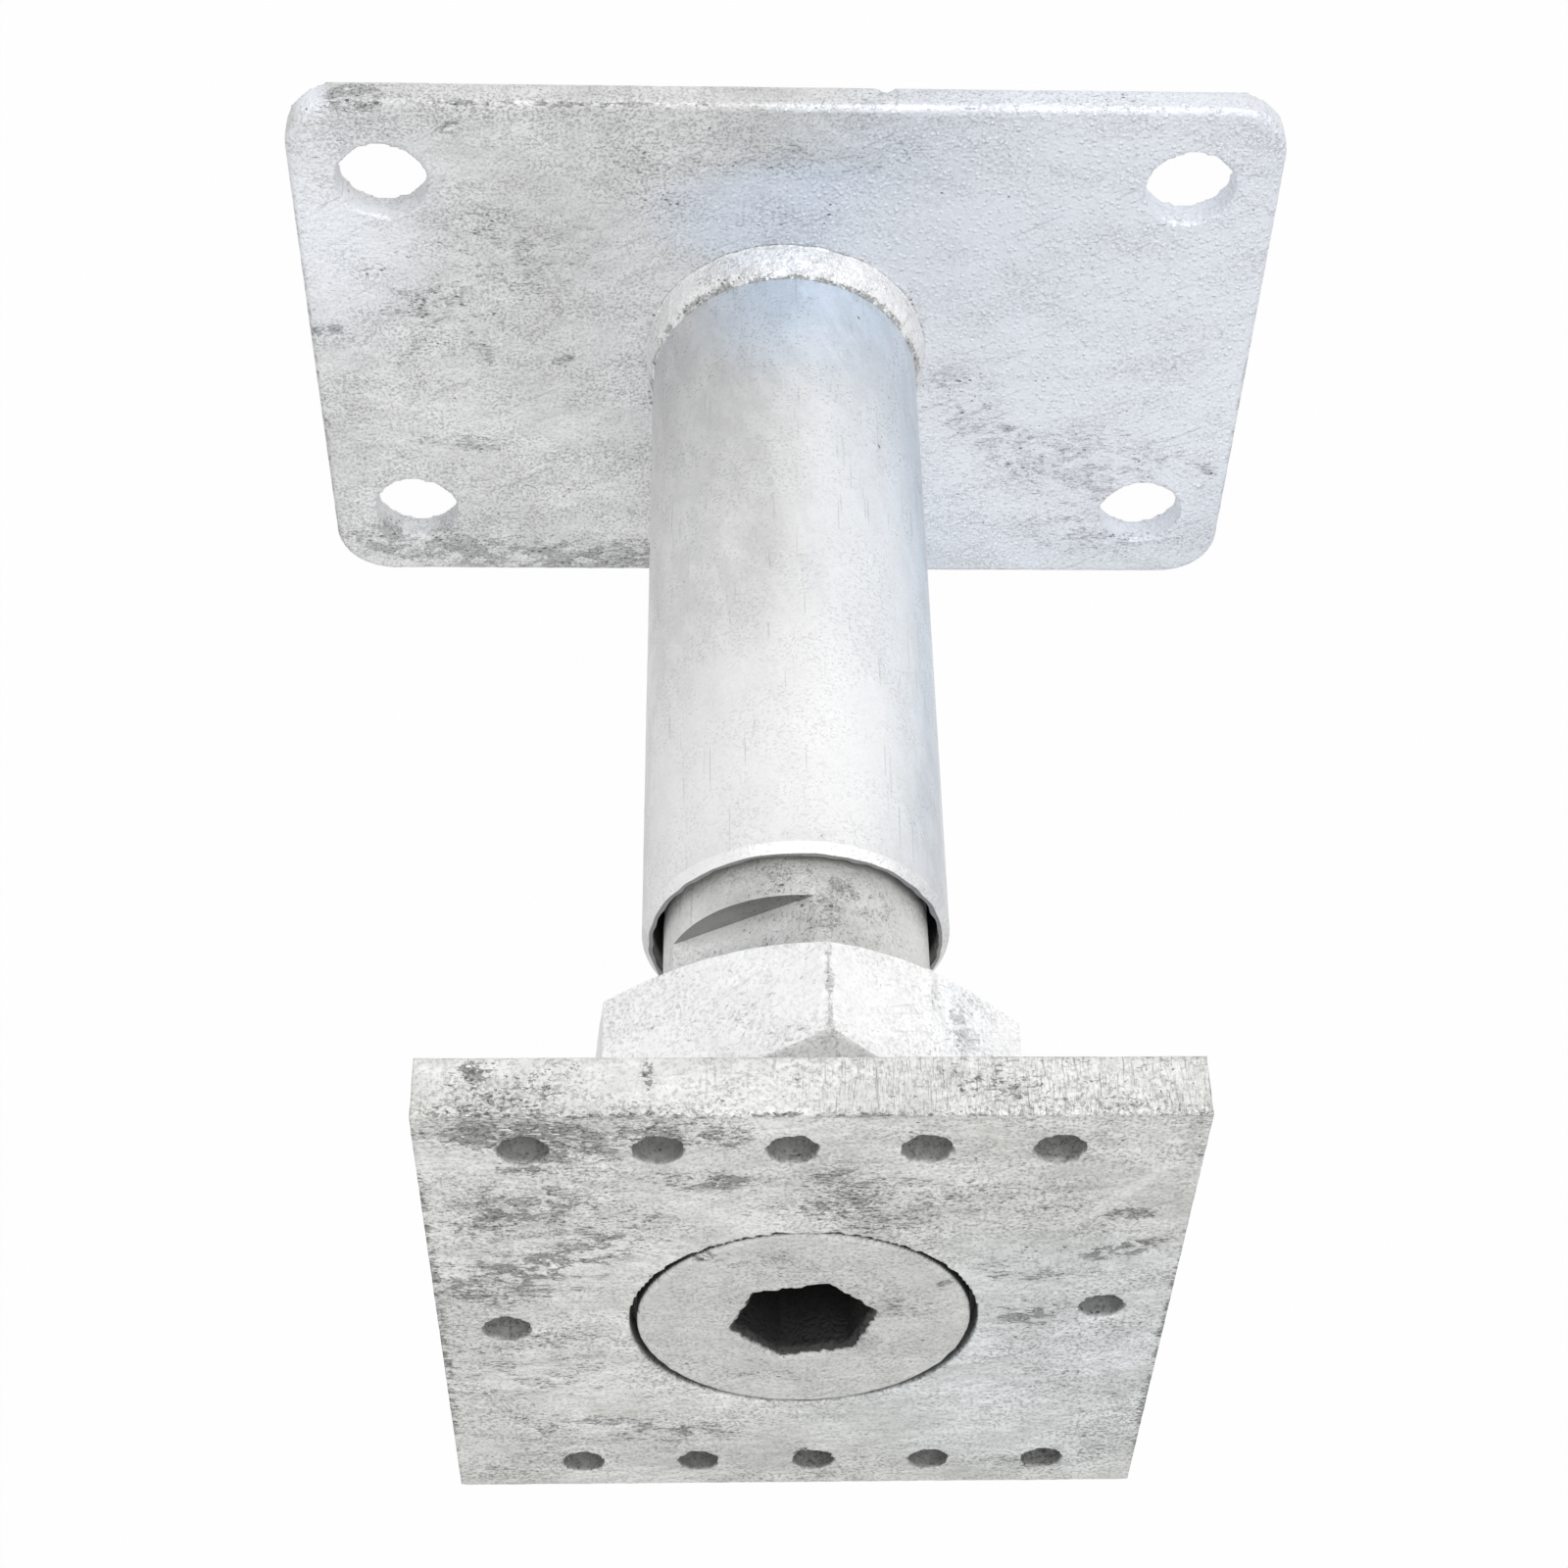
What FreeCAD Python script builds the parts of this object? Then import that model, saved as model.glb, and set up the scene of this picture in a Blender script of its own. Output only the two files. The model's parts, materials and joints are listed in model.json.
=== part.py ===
import FreeCAD, Part
import os
import Sketcher

# Height-adjustable timber post base of hot-dip galvanised steel, in millimetres.
# +Z is up, and the origin is the centre of the base plate's underside, on the spindle's axis.
# The spindle is screwed into the tube. Its disc head lies in a seat in the head plate, and a
# hexagon with a collar, fixed on the spindle, carries the head plate from below. Both sides of
# the thread are left plain at its nominal diameter.

doc = FreeCAD.newDocument("TimberPostBase")
sheet = doc.addObject("Spreadsheet::Sheet", "Sizes")

# name, value, what it is
drivingSizes = [
    ("basePlateLength", 151, "base plate along X"),
    ("basePlateWidth", 100, "base plate along Y"),
    ("basePlateThickness", 5, "base plate along Z"),
    ("basePlateCorner", 9, "radius of its corners in plan"),
    ("basePlateEdge", 1, "radius of its upper edge"),
    ("anchorHole", 13.5, "diameter of the four anchor holes"),
    ("anchorInsetX", 14, "hole centres to the plate's ends"),
    ("anchorInsetY", 15, "hole centres to the plate's sides"),
    ("tubeLength", 117, "base plate to rim"),
    ("tubeWall", 2.95, "wall round the thread"),
    ("tubeBevelWidth", 1, "bevel outside the rim, across"),
    ("tubeBevelHeight", 1.3, "bevel outside the rim, along"),
    ("mouthGap", 1.4, "space round the spindle in the mouth"),
    ("mouthDepth", 22, "depth of the wider mouth"),
    ("weldWidth", 2.7, "weld on the base plate"),
    ("weldHeight", 5.4, "weld up the tube"),
    ("weldBulge", 0.7, "how far the weld stands out of its triangle"),
    ("spindleDiameter", 36, "bar and thread"),
    ("threadClearance", 0.05, "running fit on the radius"),
    ("spindleFootGap", 20, "spindle's foot above the base plate, at rest"),
    ("spindleFootChamfer", 2, "chamfer at the spindle's foot"),
    ("flatDepth", 3.5, "wrench flats below the bar's surface"),
    ("flatHeight", 13.7, "wrench flats below the hexagon"),
    ("flatAngle", -59.5, "direction of a flat's normal, in degrees"),
    ("discOverhang", 2.7, "disc head beyond the bar"),
    ("discThickness", 4, "disc head"),
    ("discChamfer", 0.4, "upper edge of the disc head"),
    ("socketAcrossFlats", 15, "hexagon socket"),
    ("socketDepth", 20, "hexagon socket"),
    ("socketChamfer", 1, "edge of the hexagon socket"),
    ("socketAngle", 12.4, "first corner from the flat's normal, in degrees"),
    ("hexLift", 19, "tube's rim to the hexagon, at rest"),
    ("hexAcrossFlats", 53.5, "outer hexagon"),
    ("hexThickness", 19, "outer hexagon"),
    ("hexChamferWidth", 5.5, "chamfer in from the corners"),
    ("hexChamferAngle", 30, "chamfer from the end face, in degrees"),
    ("hexAngle", -95.5, "direction of a corner, in degrees"),
    ("collarWall", 7, "collar round the spindle"),
    ("collarHeight", 11.9, "collar on the hexagon"),
    ("headPlateWidth", 90, "head plate along X"),
    ("headPlateLength", 91.5, "head plate along Y"),
    ("headPlateThickness", 8, "head plate along Z"),
    ("headPlateShift", -1, "its centre from the spindle's axis, along Y"),
    ("headPlateEdge", 1.2, "radius of its rolled-over rear edge"),
    ("swivelPlay", 0.1, "end play of the head plate on the spindle, each side"),
    ("seatGap", 0.7, "space round the disc head in its seat"),
    ("screwHole", 6, "diameter of the twelve screw holes"),
    ("screwRowCount", 5, "screw holes in each row"),
    ("screwRowInset", 7.45, "rows to the plate's front and rear edges"),
    ("screwEndInset", 14.5, "ends of the rows to the plate's sides"),
    ("screwRowShift", 2.2, "front row to +X, rear row to -X"),
    ("screwSideInset", 8.4, "side holes to the plate's sides"),
    ("screwSideShift", 2.4, "right hole to +Y, left hole to -Y"),
]
derivedSizes = [
    ("spindleRadius", "spindleDiameter / 2", "bar and thread"),
    ("boreRadius", "spindleRadius + threadClearance", "running fit on the spindle"),
    ("tubeRadius", "boreRadius + tubeWall", "outside of the tube"),
    ("weldChord", "sqrt(weldWidth ^ 2 + weldHeight ^ 2)", "face of the weld, straight across"),
    ("weldRadius", "(weldChord ^ 2 / 4 + weldBulge ^ 2) / (2 * weldBulge)", "face of the weld"),
    ("spindleFoot", "basePlateThickness + spindleFootGap", "height of the spindle's foot"),
    ("hexBottom", "basePlateThickness + tubeLength + hexLift", "height of the hexagon's lower face"),
    ("headUnderside", "hexBottom + hexThickness + collarHeight + swivelPlay", "height of the head plate"),
    ("spindleLength", "headUnderside + headPlateThickness - spindleFoot", "foot to disc head"),
    ("discRadius", "spindleRadius + discOverhang", "disc head"),
    ("hexCornerRadius", "hexAcrossFlats / sqrt(3)", "outer hexagon"),
    ("hexFaceRadius", "hexCornerRadius - hexChamferWidth", "flat part of the hexagon's ends"),
    ("hexCutRadius", "hexCornerRadius + 1", "the chamfer's cut, just past the corners"),
    ("hexCutHeight", "(hexCutRadius - hexFaceRadius) * tan(hexChamferAngle * 1 deg)", "the chamfer's cut"),
    ("screwPitch", "(headPlateWidth - 2 * screwEndInset) / (screwRowCount - 1)", "along the rows"),
    ("screwRowY", "headPlateLength / 2 - screwRowInset", "rows from the plate's centre"),
    ("screwSideX", "headPlateWidth / 2 - screwSideInset", "side holes from the plate's centre"),
]


def fillSheet():
    rows = [(name, str(value), note) for name, value, note in drivingSizes]
    rows += [(name, "=" + formula, note) for name, formula, note in derivedSizes]
    for row, (name, content, note) in enumerate(rows, start=1):
        sheet.set(f"A{row}", name)
        sheet.set(f"B{row}", content)
        sheet.set(f"C{row}", note)
        sheet.setAlias(f"B{row}", name)
    doc.recompute()


def valueOf(expression):
    result = sheet.evalExpression(expression)
    return float(getattr(result, "Value", result))


def newBody(label, height="0", turn="0"):
    body = doc.addObject("PartDesign::Body", label)
    body.Label = label
    body.Placement = FreeCAD.Placement(FreeCAD.Vector(0, 0, 0), FreeCAD.Rotation(FreeCAD.Vector(0, 0, 1), 1))
    body.setExpression("Placement.Base.z", height)
    body.setExpression("Placement.Rotation.Angle", f"({turn}) * 1 deg")
    return body


def newSketch(body, name, plane="XY_Plane", height="0"):
    sketch = body.newObject("Sketcher::SketchObject", name)
    support = next(item for item in body.Origin.OriginFeatures if item.Role == plane)
    sketch.AttachmentSupport = [(support, "")]
    sketch.MapMode = "FlatFace"
    if height != "0":
        sketch.setExpression("AttachmentOffset.Base.z", height)
    return sketch


def tiePoint(sketch, geometry, vertex, x, y):
    # holds one point of a sketch at two expressions, measured from the sketch's origin
    for kind, expression, axis in (("DistanceX", x, -2), ("DistanceY", y, -1)):
        if expression == "0":
            sketch.addConstraint(Sketcher.Constraint("PointOnObject", geometry, vertex, axis))
            continue
        value = valueOf(expression)
        index = sketch.addConstraint(Sketcher.Constraint(kind, -1, 1, geometry, vertex, value))
        sketch.setExpression(f"Constraints[{index}]", expression)


def addOutline(sketch, corners):
    # closed outline of straight lines through corners, each a pair of expressions
    first = sketch.GeometryCount
    points = [FreeCAD.Vector(valueOf(x), valueOf(y), 0) for x, y in corners]
    for start, end in zip(points, points[1:] + points[:1]):
        sketch.addGeometry(Part.LineSegment(start, end), False)
    for number, (x, y) in enumerate(corners):
        following = first + (number + 1) % len(corners)
        sketch.addConstraint(Sketcher.Constraint("Coincident", first + number, 2, following, 1))
        tiePoint(sketch, first + number, 1, x, y)


def addRectangle(sketch, left, bottom, right, top):
    addOutline(sketch, [(left, bottom), (right, bottom), (right, top), (left, top)])


def addHexagon(sketch, acrossFlats, turn):
    corners = []
    for corner in range(6):
        direction = f"({turn} + {60 * corner}) * 1 deg"
        reach = f"{acrossFlats} / sqrt(3)"
        corners.append((f"{reach} * cos({direction})", f"{reach} * sin({direction})"))
    addOutline(sketch, corners)


def addCircle(sketch, diameter, x="0", y="0"):
    centre = FreeCAD.Vector(valueOf(x), valueOf(y), 0)
    circle = Part.Circle(centre, FreeCAD.Vector(0, 0, 1), valueOf(diameter) / 2)
    geometry = sketch.addGeometry(circle, False)
    tiePoint(sketch, geometry, 3, x, y)
    index = sketch.addConstraint(Sketcher.Constraint("Diameter", geometry, valueOf(diameter)))
    sketch.setExpression(f"Constraints[{index}]", diameter)


def pad(body, name, sketch, length):
    feature = body.newObject("PartDesign::Pad", name)
    feature.Profile = sketch
    feature.setExpression("Length", length)
    doc.recompute()
    return feature


def pocket(body, name, sketch, length=None, upwards=False):
    # a pocket with no length goes right through
    before = body.Shape.Volume
    feature = body.newObject("PartDesign::Pocket", name)
    feature.Profile = sketch
    feature.Reversed = upwards
    if length is None:
        feature.Type = "ThroughAll"
    else:
        feature.setExpression("Length", length)
    doc.recompute()
    if body.Shape.Volume >= before:
        raise RuntimeError(f"{name} cuts nothing")
    return feature


def turned(body, kind, name, sketch):
    # a full turn of the sketch about the body's Z axis: PartDesign::Revolution or PartDesign::Groove
    before = body.Shape.Volume if kind == "PartDesign::Groove" else None
    feature = body.newObject(kind, name)
    feature.Profile = sketch
    feature.ReferenceAxis = (sketch, ["V_Axis"])
    feature.Angle = 360
    doc.recompute()
    if before is not None and body.Shape.Volume >= before:
        raise RuntimeError(f"{name} cuts nothing")
    return feature


def dress(body, kind, name, base, test, sizeName, expression):
    # PartDesign::Fillet or PartDesign::Chamfer on the edges that pass the test
    edges = [f"Edge{number}" for number, edge in enumerate(base.Shape.Edges, start=1) if test(edge)]
    feature = body.newObject(kind, name)
    feature.Base = (base, edges)
    feature.setExpression(sizeName, expression)
    doc.recompute()
    return feature


def liesAt(edge, height):
    box = edge.BoundBox
    return abs(box.ZMin - height) < 1e-4 and abs(box.ZMax - height) < 1e-4


def standsUpright(edge):
    box = edge.BoundBox
    return box.XLength < 1e-4 and box.YLength < 1e-4


def makeBasePlate():
    body = newBody("base_plate")
    outline = newSketch(body, "BasePlateOutline")
    halfLength = "Sizes.basePlateLength / 2"
    halfWidth = "Sizes.basePlateWidth / 2"
    addRectangle(outline, f"-{halfLength}", f"-{halfWidth}", halfLength, halfWidth)
    plate = pad(body, "BasePlatePad", outline, "Sizes.basePlateThickness")
    rounded = dress(body, "PartDesign::Fillet", "BasePlateCorners", plate, standsUpright,
                    "Radius", "Sizes.basePlateCorner")
    top = valueOf("Sizes.basePlateThickness")
    dress(body, "PartDesign::Fillet", "BasePlateUpperEdge", rounded, lambda edge: liesAt(edge, top),
          "Radius", "Sizes.basePlateEdge")
    holes = newSketch(body, "AnchorHoles")
    for sideX in ("-", ""):
        for sideY in ("-", ""):
            x = f"{sideX}({halfLength} - Sizes.anchorInsetX)"
            y = f"{sideY}({halfWidth} - Sizes.anchorInsetY)"
            addCircle(holes, "Sizes.anchorHole", x, y)
    pocket(body, "AnchorHolesPocket", holes, upwards=True)
    return body


def makeTube():
    body = newBody("tube", "Sizes.basePlateThickness")
    section = newSketch(body, "TubeSection", "XZ_Plane")
    mouth = "Sizes.spindleRadius + Sizes.mouthGap"
    mouthFloor = "Sizes.tubeLength - Sizes.mouthDepth"
    addOutline(section, [
        ("Sizes.boreRadius", "0"),
        ("Sizes.tubeRadius", "0"),
        ("Sizes.tubeRadius", "Sizes.tubeLength - Sizes.tubeBevelHeight"),
        ("Sizes.tubeRadius - Sizes.tubeBevelWidth", "Sizes.tubeLength"),
        (mouth, "Sizes.tubeLength"),
        (mouth, mouthFloor),
        ("Sizes.boreRadius", mouthFloor),
    ])
    turned(body, "PartDesign::Revolution", "TubeTurned", section)
    return body


def makeWeldBead():
    # a triangle in the corner between tube and plate, with a convex face
    body = newBody("weld_bead", "Sizes.basePlateThickness")
    section = newSketch(body, "WeldSection", "XZ_Plane")
    root, width, height, bulge, chord = (
        valueOf(f"Sizes.{name}") for name in ("tubeRadius", "weldWidth", "weldHeight", "weldBulge", "weldChord"))
    corner = FreeCAD.Vector(root, 0, 0)
    toe = FreeCAD.Vector(root + width, 0, 0)
    head = FreeCAD.Vector(root, height, 0)
    outwards = FreeCAD.Vector(height, width, 0) * (bulge / chord)
    section.addGeometry(Part.LineSegment(corner, toe), False)
    section.addGeometry(Part.Arc(toe, (toe + head) * 0.5 + outwards, head), False)
    section.addGeometry(Part.LineSegment(head, corner), False)
    tiePoint(section, 0, 1, "Sizes.tubeRadius", "0")
    tiePoint(section, 0, 2, "Sizes.tubeRadius + Sizes.weldWidth", "0")
    tiePoint(section, 2, 1, "Sizes.tubeRadius", "Sizes.weldHeight")
    section.addConstraint(Sketcher.Constraint("Coincident", 2, 2, 0, 1))
    section.addConstraint(Sketcher.Constraint("Coincident", 1, 1, 0, 2))
    section.addConstraint(Sketcher.Constraint("Coincident", 1, 2, 2, 1))
    index = section.addConstraint(Sketcher.Constraint("Radius", 1, valueOf("Sizes.weldRadius")))
    section.setExpression(f"Constraints[{index}]", "Sizes.weldRadius")
    turned(body, "PartDesign::Revolution", "WeldTurned", section)
    return body


def makeSpindle():
    body = newBody("spindle", "Sizes.spindleFoot", "Sizes.flatAngle")
    section = newSketch(body, "SpindleSection", "XZ_Plane")
    discBottom = "Sizes.spindleLength - Sizes.discThickness"
    addOutline(section, [
        ("0", "0"),
        ("Sizes.spindleRadius - Sizes.spindleFootChamfer", "0"),
        ("Sizes.spindleRadius", "Sizes.spindleFootChamfer"),
        ("Sizes.spindleRadius", discBottom),
        ("Sizes.discRadius", discBottom),
        ("Sizes.discRadius", "Sizes.spindleLength - Sizes.discChamfer"),
        ("Sizes.discRadius - Sizes.discChamfer", "Sizes.spindleLength"),
        ("0", "Sizes.spindleLength"),
    ])
    turned(body, "PartDesign::Revolution", "SpindleTurned", section)

    # two opposite wrench flats that run up to the hexagon
    flats = newSketch(body, "WrenchFlats", height="Sizes.hexBottom - Sizes.flatHeight - Sizes.spindleFoot")
    inner = "Sizes.spindleRadius - Sizes.flatDepth"
    outer = "Sizes.spindleRadius + 1"
    addRectangle(flats, inner, "-Sizes.spindleRadius", outer, "Sizes.spindleRadius")
    addRectangle(flats, f"-({outer})", "-Sizes.spindleRadius", f"-({inner})", "Sizes.spindleRadius")
    pocket(body, "WrenchFlatsPocket", flats, "Sizes.flatHeight", upwards=True)

    socket = newSketch(body, "HexagonSocket", height="Sizes.spindleLength")
    addHexagon(socket, "Sizes.socketAcrossFlats", "Sizes.socketAngle")
    deep = pocket(body, "HexagonSocketPocket", socket, "Sizes.socketDepth")
    top = valueOf("Sizes.spindleLength")
    dress(body, "PartDesign::Chamfer", "HexagonSocketEdge", deep,
          lambda edge: liesAt(edge, top) and isinstance(edge.Curve, Part.Line),
          "Size", "Sizes.socketChamfer")
    return body


def makeHexCollar():
    body = newBody("hex_collar", "Sizes.hexBottom", "Sizes.hexAngle")
    outline = newSketch(body, "HexOutline")
    addHexagon(outline, "Sizes.hexAcrossFlats", "0")
    pad(body, "HexPad", outline, "Sizes.hexThickness")

    # turned chamfers round both ends, as on a nut
    chamfers = newSketch(body, "HexChamfers", "XZ_Plane")
    for face, depth in (("0", "Sizes.hexCutHeight"),
                        ("Sizes.hexThickness", "Sizes.hexThickness - Sizes.hexCutHeight")):
        addOutline(chamfers, [
            ("Sizes.hexFaceRadius", face),
            ("Sizes.hexCutRadius", face),
            ("Sizes.hexCutRadius", depth),
        ])
    turned(body, "PartDesign::Groove", "HexChamfersCut", chamfers)

    collar = newSketch(body, "CollarOutline", height="Sizes.hexThickness")
    addCircle(collar, "Sizes.spindleDiameter + 2 * Sizes.collarWall")
    pad(body, "CollarPad", collar, "Sizes.collarHeight")
    bore = newSketch(body, "CollarBore")
    addCircle(bore, "Sizes.spindleDiameter")
    pocket(body, "CollarBorePocket", bore, upwards=True)
    return body


def makeHeadPlate():
    body = newBody("head_plate", "Sizes.headUnderside")
    outline = newSketch(body, "HeadPlateOutline")
    halfWidth = "Sizes.headPlateWidth / 2"
    halfLength = "Sizes.headPlateLength / 2"
    front = f"Sizes.headPlateShift - {halfLength}"
    rear = f"Sizes.headPlateShift + {halfLength}"
    addRectangle(outline, f"-{halfWidth}", front, halfWidth, rear)
    plate = pad(body, "HeadPlatePad", outline, "Sizes.headPlateThickness")
    top = valueOf("Sizes.headPlateThickness")
    rearY = valueOf(rear)
    dress(body, "PartDesign::Fillet", "HeadPlateRearEdge", plate,
          lambda edge: liesAt(edge, top) and abs(edge.BoundBox.YMin - rearY) < 1e-4,
          "Radius", "Sizes.headPlateEdge")

    # the rows and the side holes are each set a little off centre, turn about
    holes = newSketch(body, "ScrewHoles")
    rowCount = round(valueOf("Sizes.screwRowCount"))
    for side in ("-", ""):
        rowY = f"Sizes.headPlateShift + {side}Sizes.screwRowY"
        shift = "Sizes.screwRowShift" if side == "-" else "-Sizes.screwRowShift"
        for number in range(rowCount):
            x = f"{shift} + ({number} - (Sizes.screwRowCount - 1) / 2) * Sizes.screwPitch"
            addCircle(holes, "Sizes.screwHole", x, rowY)
        sideY = f"Sizes.headPlateShift + {side}Sizes.screwSideShift"
        addCircle(holes, "Sizes.screwHole", f"{side}Sizes.screwSideX", sideY)
    pocket(body, "ScrewHolesPocket", holes, upwards=True)

    bore = newSketch(body, "HeadPlateBore")
    addCircle(bore, "2 * Sizes.boreRadius")
    pocket(body, "HeadPlateBorePocket", bore, upwards=True)
    seat = newSketch(body, "DiscSeat", height="Sizes.headPlateThickness")
    addCircle(seat, "2 * (Sizes.discRadius + Sizes.seatGap)")
    pocket(body, "DiscSeatPocket", seat, "Sizes.discThickness + Sizes.swivelPlay")
    return body


def writeParts(bodies):
    doc.recompute()
    for item in doc.Objects:
        if "Invalid" in item.State or "Error" in item.State:
            raise RuntimeError(f"{item.Label} failed: {item.State}")
    os.makedirs("parts", exist_ok=True)
    for body in bodies:
        shape = body.Shape
        if shape.isNull() or not shape.isValid() or len(shape.Solids) != 1:
            raise RuntimeError(f"{body.Label} is not one sound solid")
        shape.exportStep(f"parts/{body.Label}.step")
        print(f"{body.Label}: {shape.Volume / 1000:.2f} cm3")


fillSheet()
writeParts([makeBasePlate(), makeTube(), makeWeldBead(), makeSpindle(), makeHexCollar(), makeHeadPlate()])
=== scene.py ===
import json
import math
import bmesh
import bpy
import numpy as np
from mathutils import Matrix, Vector, noise


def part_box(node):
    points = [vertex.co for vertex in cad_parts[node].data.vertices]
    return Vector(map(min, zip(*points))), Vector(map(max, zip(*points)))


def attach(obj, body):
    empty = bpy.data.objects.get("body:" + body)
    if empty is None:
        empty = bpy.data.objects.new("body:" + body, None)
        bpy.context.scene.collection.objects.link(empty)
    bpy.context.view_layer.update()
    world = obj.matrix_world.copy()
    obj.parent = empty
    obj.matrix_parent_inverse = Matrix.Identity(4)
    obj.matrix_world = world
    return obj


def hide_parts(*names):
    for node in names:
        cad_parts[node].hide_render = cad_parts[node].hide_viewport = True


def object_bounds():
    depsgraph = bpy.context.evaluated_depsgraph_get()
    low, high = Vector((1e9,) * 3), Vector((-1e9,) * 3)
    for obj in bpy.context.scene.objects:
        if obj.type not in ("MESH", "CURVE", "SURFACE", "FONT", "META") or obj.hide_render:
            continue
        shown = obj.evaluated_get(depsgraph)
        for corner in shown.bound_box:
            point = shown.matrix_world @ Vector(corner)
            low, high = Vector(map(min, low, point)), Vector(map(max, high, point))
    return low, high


# A height-adjustable timber post base of hot-dip galvanised steel. The plates, the hexagon and the top of
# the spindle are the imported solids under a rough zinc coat; the tube, its weld and the thread are spun.
# Sizes in the dictionaries are in millimetres, seen with +Z up and the plates' fronts towards -Y.

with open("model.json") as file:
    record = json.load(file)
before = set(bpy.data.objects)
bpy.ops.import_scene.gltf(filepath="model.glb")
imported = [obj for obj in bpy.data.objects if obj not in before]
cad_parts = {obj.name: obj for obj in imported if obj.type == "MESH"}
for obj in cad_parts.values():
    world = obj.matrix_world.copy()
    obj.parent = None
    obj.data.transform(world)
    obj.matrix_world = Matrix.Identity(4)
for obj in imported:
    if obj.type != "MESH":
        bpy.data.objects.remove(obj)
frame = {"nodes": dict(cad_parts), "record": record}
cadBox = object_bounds()
mm = 0.001
weldDistance = 0.001 * mm
sharpAngle = 28
print("frame loaded:", ", ".join(sorted(frame["nodes"])))


# meshes

def mergedCopy(node):
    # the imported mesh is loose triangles, so a copy is welded before it is worked on
    bm = bmesh.new()
    bm.from_mesh(frame["nodes"][node].data)
    bmesh.ops.remove_doubles(bm, verts=bm.verts, dist=weldDistance)
    return bm


def cutBetween(bm, bottom, top, snap=0.0):
    # keeps what is between two heights in millimetres and closes it where it is cut
    for height, side in ((bottom, -1), (top, 1)):
        if height is None:
            continue
        cut = bmesh.ops.bisect_plane(bm, geom=bm.verts[:] + bm.edges[:] + bm.faces[:], dist=snap,
                                     plane_co=(0, 0, height * mm), plane_no=(0, 0, side), clear_outer=True)
        rim = [item for item in cut["geom_cut"] if isinstance(item, bmesh.types.BMEdge)]
        bmesh.ops.triangle_fill(bm, edges=rim, use_beauty=True)


def sliceOf(node, bottom, top=None):
    bm = mergedCopy(node)
    cutBetween(bm, bottom, top)
    bmesh.ops.recalc_face_normals(bm, faces=bm.faces)
    return bm


def newPiece(name, bm):
    mesh = bpy.data.meshes.new(name)
    bm.to_mesh(mesh)
    bm.free()
    mesh.polygons.foreach_set("use_smooth", [True] * len(mesh.polygons))
    piece = bpy.data.objects.new(name, mesh)
    bpy.context.scene.collection.objects.link(piece)
    return piece


def placed(piece, body, node, material):
    # the piece stands for the node, which is hidden, moves with its body and takes the finish given to it
    piece.data.materials.clear()
    piece.data.materials.append(material)
    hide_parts(node)
    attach(piece, body)
    print(piece.name, "made,", sum(len(face.vertices) - 2 for face in piece.data.polygons), "triangles")


def crisp(piece, angle=sharpAngle):
    # smooth shading between edges that stay sharp
    piece.data.set_sharp_from_angle(angle=math.radians(angle))


dippedScale = 0.99


def dipped(piece, grain=None, cells=None):
    # an even mesh: with a grain in millimetres every edge is rounded by about that much, as a thick zinc
    # coat does; with a number of cells, as a power of two across the piece, the edges stay sharp
    coat = piece.modifiers.new("coat", "REMESH")
    if grain:
        coat.mode = "VOXEL"
        coat.voxel_size = grain * mm
    else:
        coat.mode = "SHARP"
        coat.octree_depth = cells
        coat.scale = dippedScale
        coat.use_remove_disconnected = False
    coat.use_smooth_shade = True
    bpy.context.view_layer.update()
    done = piece.evaluated_get(bpy.context.evaluated_depsgraph_get())
    mesh = bpy.data.meshes.new_from_object(done)
    piece.modifiers.clear()
    piece.data = mesh
    mesh.name = piece.name


def spun(profile, steps, spacing):
    # a closed ring from (radius, height) points, its straight runs divided every spacing
    bm = bmesh.new()
    around = []
    for (radius, height), (nextRadius, nextHeight) in zip(profile, profile[1:] + profile[:1]):
        count = max(1, round(math.dist((radius, height), (nextRadius, nextHeight)) / spacing))
        for step in range(count):
            share = step / count
            place = (radius + (nextRadius - radius) * share, 0, height + (nextHeight - height) * share)
            around.append(bm.verts.new(Vector(place) * mm))
    edges = [bm.edges.new(pair) for pair in zip(around, around[1:] + around[:1])]
    bmesh.ops.spin(bm, geom=around + edges, cent=(0, 0, 0), axis=(0, 0, 1), dvec=(0, 0, 0),
                   angle=2 * math.pi, steps=steps, use_merge=True, use_duplicate=False)
    bmesh.ops.remove_doubles(bm, verts=bm.verts, dist=weldDistance)
    bmesh.ops.recalc_face_normals(bm, faces=bm.faces)
    return bm


def pointsOf(piece, kind="vertices", value="co"):
    rows = getattr(piece.data, kind)
    flat = np.empty(len(rows) * 3, np.float32)
    rows.foreach_get(value, flat)
    return flat.reshape(-1, 3).astype(float)


drumPower = 8
facingShare = 0.8


def nearness(places, mark, normals=None):
    # 1 at the middle of a mark and 0 past its reach; a firm mark stays near 1 for longer, a drum is as
    # wide at its ends as in its middle, and a facing mark keeps to surfaces turned that way
    away = places / mm - mark["at"]
    turn = math.radians(mark.get("turn", 0))
    along = away[:, 0] * math.cos(turn) + away[:, 1] * math.sin(turn)
    across = away[:, 1] * math.cos(turn) - away[:, 0] * math.sin(turn)
    spread = np.stack([along, across, away[:, 2]], axis=1) / mark["reach"]
    if mark.get("drum"):
        spread = np.stack([np.hypot(spread[:, 0], spread[:, 1]), spread[:, 2]], axis=1) ** drumPower
    near = np.clip((1 - (spread ** 2).sum(axis=1)) * mark.get("firm", 1), 0, 1)
    if "facing" in mark:
        near = near * (normals @ np.array(mark["facing"]) > facingShare)
    return near


waveShift = Vector((7.3, 1.9, 4.1))
rimShift = 3.7


def waves(places, size, seed):
    # smooth noise from 0 to 1
    start = waveShift * seed
    scaled = (places / (size * mm)).tolist()
    return np.array([0.5 + 0.5 * noise.noise(Vector(place) + start) for place in scaled])


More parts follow.
